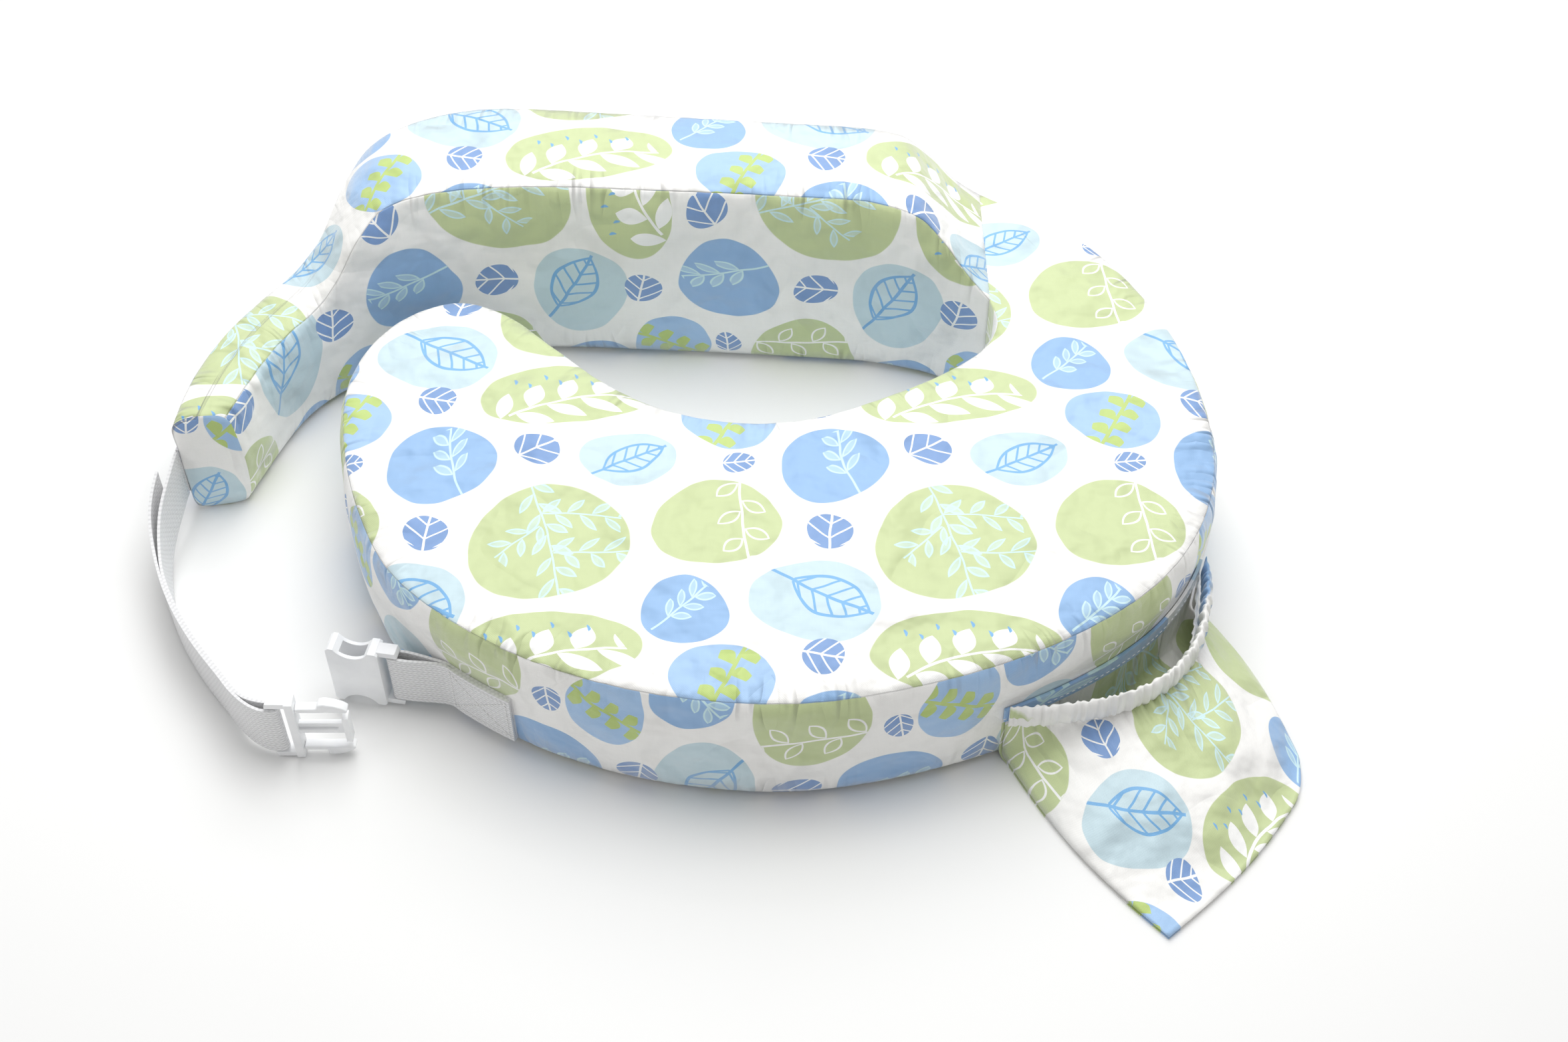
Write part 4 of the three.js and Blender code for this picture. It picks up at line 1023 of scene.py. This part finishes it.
def buildWebbing(name, path, heights, finish=webbingFinish, width=web["width"], thick=web["thick"], rows=7):
    # the long edges are a little thicker, as a woven selvedge is
    path = np.array(path)
    normals, walked = leftNormals(path), walkedLengths(path)
    profile = []
    for r in range(rows + 1):
        v = -1 + 2 * r / rows
        profile.append((v * width / 2, 0.5 * thick * (1 + 0.22 * max(0, abs(v) - 0.85) / 0.15)))
    section = profile + [(z, -t) for z, t in reversed(profile)]
    n = len(section)
    points = []
    for p, normal, s, height in zip(path, normals, walked, heights):
        for z, t in section:
            ripple = 0.036 * math.sin(s * 0.9 + z) * (abs(z) > width * 0.4)
            points.append((*(p + normal * (t + ripple)), height + z))
    faces, uvs = tubeFaces(len(path), n, lambda i, k, side: (walked[i], section[k % n][0]))
    for start in (0, (len(path) - 1) * n):
        for k in range(rows):
            face = [start + k, start + k + 1, start + n - 2 - k, start + n - 1 - k]
            faces.append(face if start else face[::-1])
            uvs.append([(0, 0)] * 4)

    def sharpened(bm):
        for e in bm.edges:
            if len(e.link_faces) == 2 and e.calc_face_angle() > 0.9:
                e.smooth = False

    return outwards(meshObject(name, points, faces, finish, uvs), sharpened)


def ease(x):
    x = max(0, x)
    return x * x * (3 - 2 * x)


def roundBar(bar, start, way):  # half a turn of webbing round a buckle's bar
    angles = [start + way * math.pi * (k + 1) / 10 for k in range(9)]
    return [bar + turnRadius * np.array([math.cos(a), math.sin(a)]) for a in angles]


def buildStrap():
    thick, bar = web["thick"], np.array(web["plugBar"])
    tail = smoothCurve([(s[2], s[3]) for s in band["stations"]], 1.0)[-int(web["sewn"]) - 1:]
    sewn = evenly(tail + normalsTowards(tail, (-1.0, 0.0)) * (0.3 + thick / 2), 3.0)
    heading = unit(sewn[-1] - sewn[-2])
    start = sewn[-1] + heading * 1.6
    run = smoothCurve([start, start + heading * 14, (-391, 45), (-385, 12), (-373, -16), (-355, -45), (-334, -72),
                       bar + (-20, turnRadius + 6), bar + (-7, turnRadius + 0.4), bar + (0, turnRadius)], 3.2)
    walked, normals = walkedLengths(run), leftNormals(run)
    total, close = walked[-1], thick + 0.35
    back = []
    for p, normal, s in zip(run, normals, walked):
        # the two layers lie together, and part only at the bar and towards the root
        off = close + (2 * turnRadius - close) * ease(1 - (total - s) / 26) + 6.5 * ease(1 - (s - 14) / 80)
        if s > 14:
            back.append((p - normal * off, s))
    back[-1] = (bar + (0, -turnRadius), back[-1][1])

    def centre(s):
        floor = web["width"] / 2 + 0.6
        return (floor + (web["rootHeight"] - floor) * ease(1 - s / 75)
                + (web["plugHeight"] - floor) * ease(1 - (total - s) / 60))

    path = list(run) + roundBar(bar, math.pi / 2, -1) + [p for p, _ in reversed(back)]
    heights = [centre(s) for s in walked] + [web["plugHeight"]] * 9 + [centre(s) for _, s in reversed(back)]
    strap = fitted(buildWebbing("strapWebbing", path, heights), "strap", "webbing", "strap_webbing")
    end = buildWebbing("strapSewnEnd", sewn, [web["rootHeight"]] * len(sewn))
    fitted(end, "backrest", "webbing", "strap_sewn_end")
    lines = boxOn(sewn, (-1.0, 0.0), 3.0, 23.0, web["rootHeight"], 15.0, thick / 2 + 0.25)
    sewnLine("strapSewnStitches", lines, "backrest", ["strap_sewn_stitching"])


def boxOn(path, outward, low, high, centre, half, lift):
    # a square with a cross in it, drawn on a path and its height
    walked, lifted = walkedLengths(path), path + normalsTowards(path, outward) * lift
    corners = [(low, -half), (high, -half), (high, half), (low, half)]
    lines = []
    for first, last in ((0, 1), (1, 2), (2, 3), (3, 0), (0, 2), (1, 3)):
        way = np.linspace(corners[first], corners[last], 13)
        lines.append([(*p, centre + z) for p, (_, z) in zip(sampled(lifted, walked, way[:, 0]), way)])
    return lines


def buildTab():
    thick, bar, angle = web["thick"], np.array(web["socketBar"]), math.radians(web["socketTurn"])
    edge = smoothCurve(shelf["edge"][:22], 2.0)
    onWall = np.array([p for p in edge if -199 < p[0] < -157 and p[1] < 0])
    away = np.array([-0.5, -0.86])
    normals = normalsTowards(onWall, away)
    sewn = onWall + normals * (0.3 + thick / 2)
    out = np.array([math.cos(angle), math.sin(angle)])
    aside = np.array([-out[1], out[0]]) * turnRadius
    near, far = bar - aside, bar + aside
    toBar = smoothCurve([*sewn[::4], sewn[-1], near - out * 9, near], 2.5)
    outer = sewn + normals * (thick + 0.4)
    back = smoothCurve([far, far - out * 9, *outer[::-1][::4], outer[0]], 2.5)
    path = list(toBar) + roundBar(bar, angle - math.pi / 2, 1) + list(back)
    tab = buildWebbing("buckleTabWebbing", path, [web["tabHeight"]] * len(path))
    fitted(tab, "shelf", "webbing", "buckle_tab_webbing")
    lines = boxOn(outer, away, 3.0, walkedLengths(outer)[-1] - 4, web["tabHeight"], 15.5, thick / 2 + 0.3)
    sewnLine("buckleTabStitches", lines, "shelf", ["buckle_tab_stitching"])


buildStrap()
buildTab()
print("webbing made")

# buckle halves: the CAD shapes with moulded edges


def moulded(node, name, body, radius, slot="buckle_plastic", finish=plastic):
    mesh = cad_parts[node].data.copy()
    mesh.name = name
    mesh.materials.clear()
    mesh.materials.append(finish)
    bm = bmesh.new()
    bm.from_mesh(mesh)
    bmesh.ops.remove_doubles(bm, verts=bm.verts, dist=2e-6)
    bmesh.ops.dissolve_limit(bm, angle_limit=0.02, verts=bm.verts, edges=bm.edges)
    bm.to_mesh(mesh)
    bm.free()
    piece = linked(name, mesh)
    bevel = piece.modifiers.new("soft edges", "BEVEL")
    bevel.width, bevel.segments, bevel.limit_method, bevel.angle_limit = radius * mm, 3, "ANGLE", math.radians(32)
    applied(piece)
    piece.data.shade_smooth()
    piece.data.set_sharp_from_angle(angle=math.radians(50))
    return fitted(piece, body, slot, node)


moulded("buckle_plug_frame", "bucklePlugFrame", "buckle_plug", 0.7)
moulded("buckle_upper_prong", "buckleUpperProng", "upper_prong", 1.0)
moulded("buckle_lower_prong", "buckleLowerProng", "lower_prong", 1.0)
moulded("buckle_socket", "buckleSocket", "buckle_socket", 1.2)
print("buckle made")

# pocket

pocket = {
    "top": 46.8, "hem": 11.0, "open": 26.0, "depth": 150.0, "lift": 2.2, "bend": 0.2, "radius": 7.0, "under": 0.35,
    "columns": 84, "rows": 56, "gathers": 23, "left": (127, -108), "right": (255, 8), "cloth": 0.9,
    "leftEdge": (0.571, -0.821), "rightEdge": (0.42, -0.907), "rightShare": 0.92,
    "printMiddle": (210.44, -179.08), "printAcross": (1.277, 0.689, 13.8), "printUp": (-0.578, 0.896, -77.0),
    "pucker": 5.2, "frontFlat": (0.19, 0.16), "backFlat": (0.18, 0.19),
}
columns, rows = pocket["columns"], pocket["rows"]
drop = pocket["top"] - pocket["hem"]
lift, bend, radius, under = pocket["lift"], pocket["bend"], pocket["radius"], pocket["under"]


def pocketWall():  # the line on the shelf's wall that the pocket hangs from
    edge = smoothCurve(shelf["edge"][:22], 1.0)
    a, b = (int(np.argmin(np.linalg.norm(edge - pocket[end], axis=1))) for end in ("right", "left"))
    onWall = edge[a:b + 1][::-1]
    outside = onWall + normalsTowards(onWall, (0.7, -0.7)) * 0.75
    walked = walkedLengths(outside)
    return sampled(outside, walked, np.linspace(0, walked[-1], columns + 1))


hung = pocketWall()
chord = unit(hung[-1] - hung[0])
out = np.array([chord[1], -chord[0]])
bottomLeft = hung[0] + np.array(pocket["leftEdge"]) * pocket["depth"]
bottomRight = hung[-1] + np.array(pocket["rightEdge"]) * pocket["depth"] * pocket["rightShare"]


def bottom(u):
    # the corner at the front is pointed, the far one is rounded
    corner = max(0.0, (u - 0.8) / 0.2) ** 2 * 13
    return bottomLeft + (bottomRight - bottomLeft) * u + out * (7 * math.sin(math.pi * u) - corner)


def bow(u, t):
    return chord * 7 * (2 * u - 1) * abs(2 * u - 1) * math.sin(math.pi * t)


def wallAt(u):
    return hung[int(round(u * columns))]


def mouth(u):
    return wallAt(u) + out * (lift + pocket["open"] * math.sin(math.pi * u))


def backPoint(u, v):
    if v < bend:
        t = v / bend
        turn = max(0.0, (t - 0.6) / 0.4) * math.pi / 2
        z = drop - (drop - radius - under) * min(1.0, t / 0.6) - radius * math.sin(turn)
        return np.array([*(wallAt(u) + out * radius * (1 - math.cos(turn))), z])
    t = (v - bend) / (1 - bend)
    p = wallAt(u) + out * radius
    return np.array([*(p + (bottom(u) - p) * t + bow(u, t)), under])


def frontPoint(u, v):
    turned = math.cos(max(0.0, kept(v / bend) - 0.6) / 0.4 * math.pi / 2)
    sewn = backPoint(u, v) + np.array([*(out * turned), 1 - turned]) * lift
    height = drop * (1 - v) ** 0.85 + 5 * math.sin(math.pi * v) + under + lift * v
    free = np.array([*(mouth(u) + (bottom(u) - mouth(u)) * v + bow(u, v)), height])
    middling = max(0.0, math.sin(math.pi * u))
    weight = min(1.0, middling ** 0.55) * (1 - v ** 6)
    q = sewn + (free - sewn) * weight
    # gathers under the casing, then broad soft folds
    fade = max(0.0, 1 - v / 0.34) ** 1.5
    gather = math.sin(u * pocket["gathers"] * 2 * math.pi + 1.6 * math.sin(u * 17)) * 2.1 * fade * middling ** 0.4
    broad = 5.0 * rough(q[0], q[1], 0, 0.022, 12.0) + 1.6 * rough(q[0], q[1], 0, 0.06, 2.0)
    broad -= 5.5 * math.exp(-((u - 0.45) / 0.16) ** 2) * math.exp(-((v - 0.32) / 0.2) ** 2)
    rise = gather + broad * math.sin(math.pi * min(1, v * 1.1)) ** 0.7 * weight
    return q + np.array([*(out * 0.45), 0.8]) * rise


def pocketCloth(u, v):
    x, y = mouth(u) + (bottom(u) - mouth(u)) * v - pocket["printMiddle"]
    return [a * x + b * y + c for a, b, c in (pocket["printAcross"], pocket["printUp"])]


def pocketPanel(name, pointOf, node):
    spots = [(c / columns, r / rows) for r in range(rows + 1) for c in range(columns + 1)]
    faces = []
    for r in range(rows):
        for c in range(columns):
            k = r * (columns + 1) + c
            faces.append((k, k + 1, k + columns + 2, k + columns + 1))
    cloth = [pocketCloth(u, v) for u, v in spots]
    # puckers fan out from the casing
    seam = [(u * columns * 2.2, 1.2 + 60 * v, 1) for u, v in spots]
    uvs = [[cloth[k] for k in face] for face in faces]
    piece = meshObject(name, [pointOf(u, v) for u, v in spots], faces, cotton, uvs, seam)
    if sum(f.normal.z for f in piece.data.polygons) < 0:
        piece.data.flip_normals()
    thick = piece.modifiers.new("cloth", "SOLIDIFY")
    thick.thickness, thick.offset = pocket["cloth"] * mm, -1.0
    fitted(applied(piece), "pocket", "printed_cotton", node)


def buildHem():
    heights = [(drop + 0.3 + pocket["top"]) / 2] * len(hung)
    facing = normalsTowards(hung, out)
    hem = buildWebbing("pocketBackHem", hung + facing * 0.8, heights, cotton, pocket["hem"] - 0.3, 1.6, 3)
    for item in hem.data.uv_layers["cloth"].data:  # the hem is cut from a blue pebble
        item.uv = (item.uv[0] * 0.35 - 0.075, item.uv[1] - 0.075)
    fitted(hem, "pocket", "printed_cotton", "pocket_back_hem")
    line = [(*p, drop + 3.0) for p in hung + facing * 1.75]
    sewnLine("pocketHemStitches", [line], "pocket", (), 4.2, 3.0, 0.55)


def buildCasing():
    # a tube over the elastic, drawn into close puckers
    line = evenly(np.array([mouth(i / 40) + out * 2 for i in range(41)]), 0.9)
    normals, walked = normalsTowards(line, out), walkedLengths(line)
    ring = 16
    points = []
    lowZ, highZ = drop - 1.5, pocket["top"] + 6
    for p, normal, s in zip(line, normals, walked):
        share = s / walked[-1]
        phase = 2 * math.pi * (s / pocket["pucker"]) + 2.2 * math.sin(s * 0.11) + 1.3 * math.sin(s * 0.31)
        ends = min(1.0, min(share, 1 - share) / 0.05)
        for k in range(ring):
            across, up = math.cos(2 * math.pi * k / ring), math.sin(2 * math.pi * k / ring)
            pucker = 0.75 * math.sin(phase + 0.5 * up) + 0.35 * math.sin(phase * 1.7 + 2 * across)
            thick = (2.3 + 1.1 * pucker) * (0.4 + 0.6 * ends)
            z = (lowZ + highZ) / 2 + up * (highZ - lowZ) / 2 * (1 + 0.05 * math.sin(phase + 1.0))
            points.append((*(p + normal * (across * thick + 0.5 * math.sin(phase * 0.5) * ends)), z))
    faces, uvs = tubeFaces(len(line), ring, lambda i, k, side: (walked[i] * 0.12 - 14, k * 0.5 + 19))
    for start in (0, (len(line) - 1) * ring):
        faces.append([start + k for k in range(ring)])
        uvs.append([(0, 0)] * ring)
    casing = outwards(meshObject("pocketElasticCasing", points, faces, cotton, uvs))
    fitted(casing, "pocket", "printed_cotton", "pocket_elastic_casing")


pocketPanel("pocketFront", frontPoint, "pocket_front_panel")
pocketPanel("pocketBack", backPoint, "pocket_back_panel")
buildHem()
buildCasing()
print("pocket made")

# zip and label

zipLine = {"start": (-134.0, 326.05), "end": (42.0, 309.87), "height": 32.0, "stitchRows": (5.6, 9.2), "teeth": 1.25}
zipStart, zipRun = np.array(zipLine["start"]), np.subtract(zipLine["end"], zipLine["start"])
zipLength, zipWay = np.linalg.norm(zipRun), unit(zipRun)


def zipRow(first, last, count, off, z):
    side = np.array([-zipWay[1], zipWay[0]])
    return [(*(zipStart + zipWay * along + side * off), z) for along in np.linspace(first, last, count)]


for side, sign in (("Upper", 1), ("Lower", -1)):
    lines = [zipRow(2, zipLength - 2, 60, 1.15, zipLine["height"] + sign * away) for away in zipLine["stitchRows"]]
    sewnLine("zip" + side + "Stitches", lines, "backrest", (), 3.2, 2.4, 0.5)
lines = [zipRow(first, zipLength - 7.5, 80, 2.0, zipLine["height"] + sign * zipLine["teeth"])
         for first, sign in ((6.5, -1), (7.2, 1))]
sewnLine("zipTeeth", lines, "backrest", ["zip_teeth"], 1.4, 1.05, 2.6, nylonFinish, "zip_nylon")
moulded("zip_slider", "zipSlider", "zip_slider", 0.5, "zip_metal", metalFinish)
moulded("zip_pull_tab", "zipPullTab", "zip_pull", 0.3, "zip_metal", metalFinish)
print("zip made")

# CAD nodes that keep their shape

finishOf = {
    "zip_upper_tape": tapeFinish, "zip_lower_tape": tapeFinish,
    "zip_closed_stop": metalFinish, "zip_open_stop": metalFinish, "care_label": satinFinish,
}
for nodeName, finish in finishOf.items():
    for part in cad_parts[nodeName].material_slots:
        part.material = finish

# floor

floorMesh = bpy.data.meshes.new("floor")
floorMesh.from_pydata([(x, y, -0.0004) for x, y in ((-8, -8), (8, -8), (8, 8), (-8, 8))], [], [(0, 1, 2, 3)])
floorMesh.materials.append(makeFloor())
linked("floor", floorMesh)
print("floor laid")
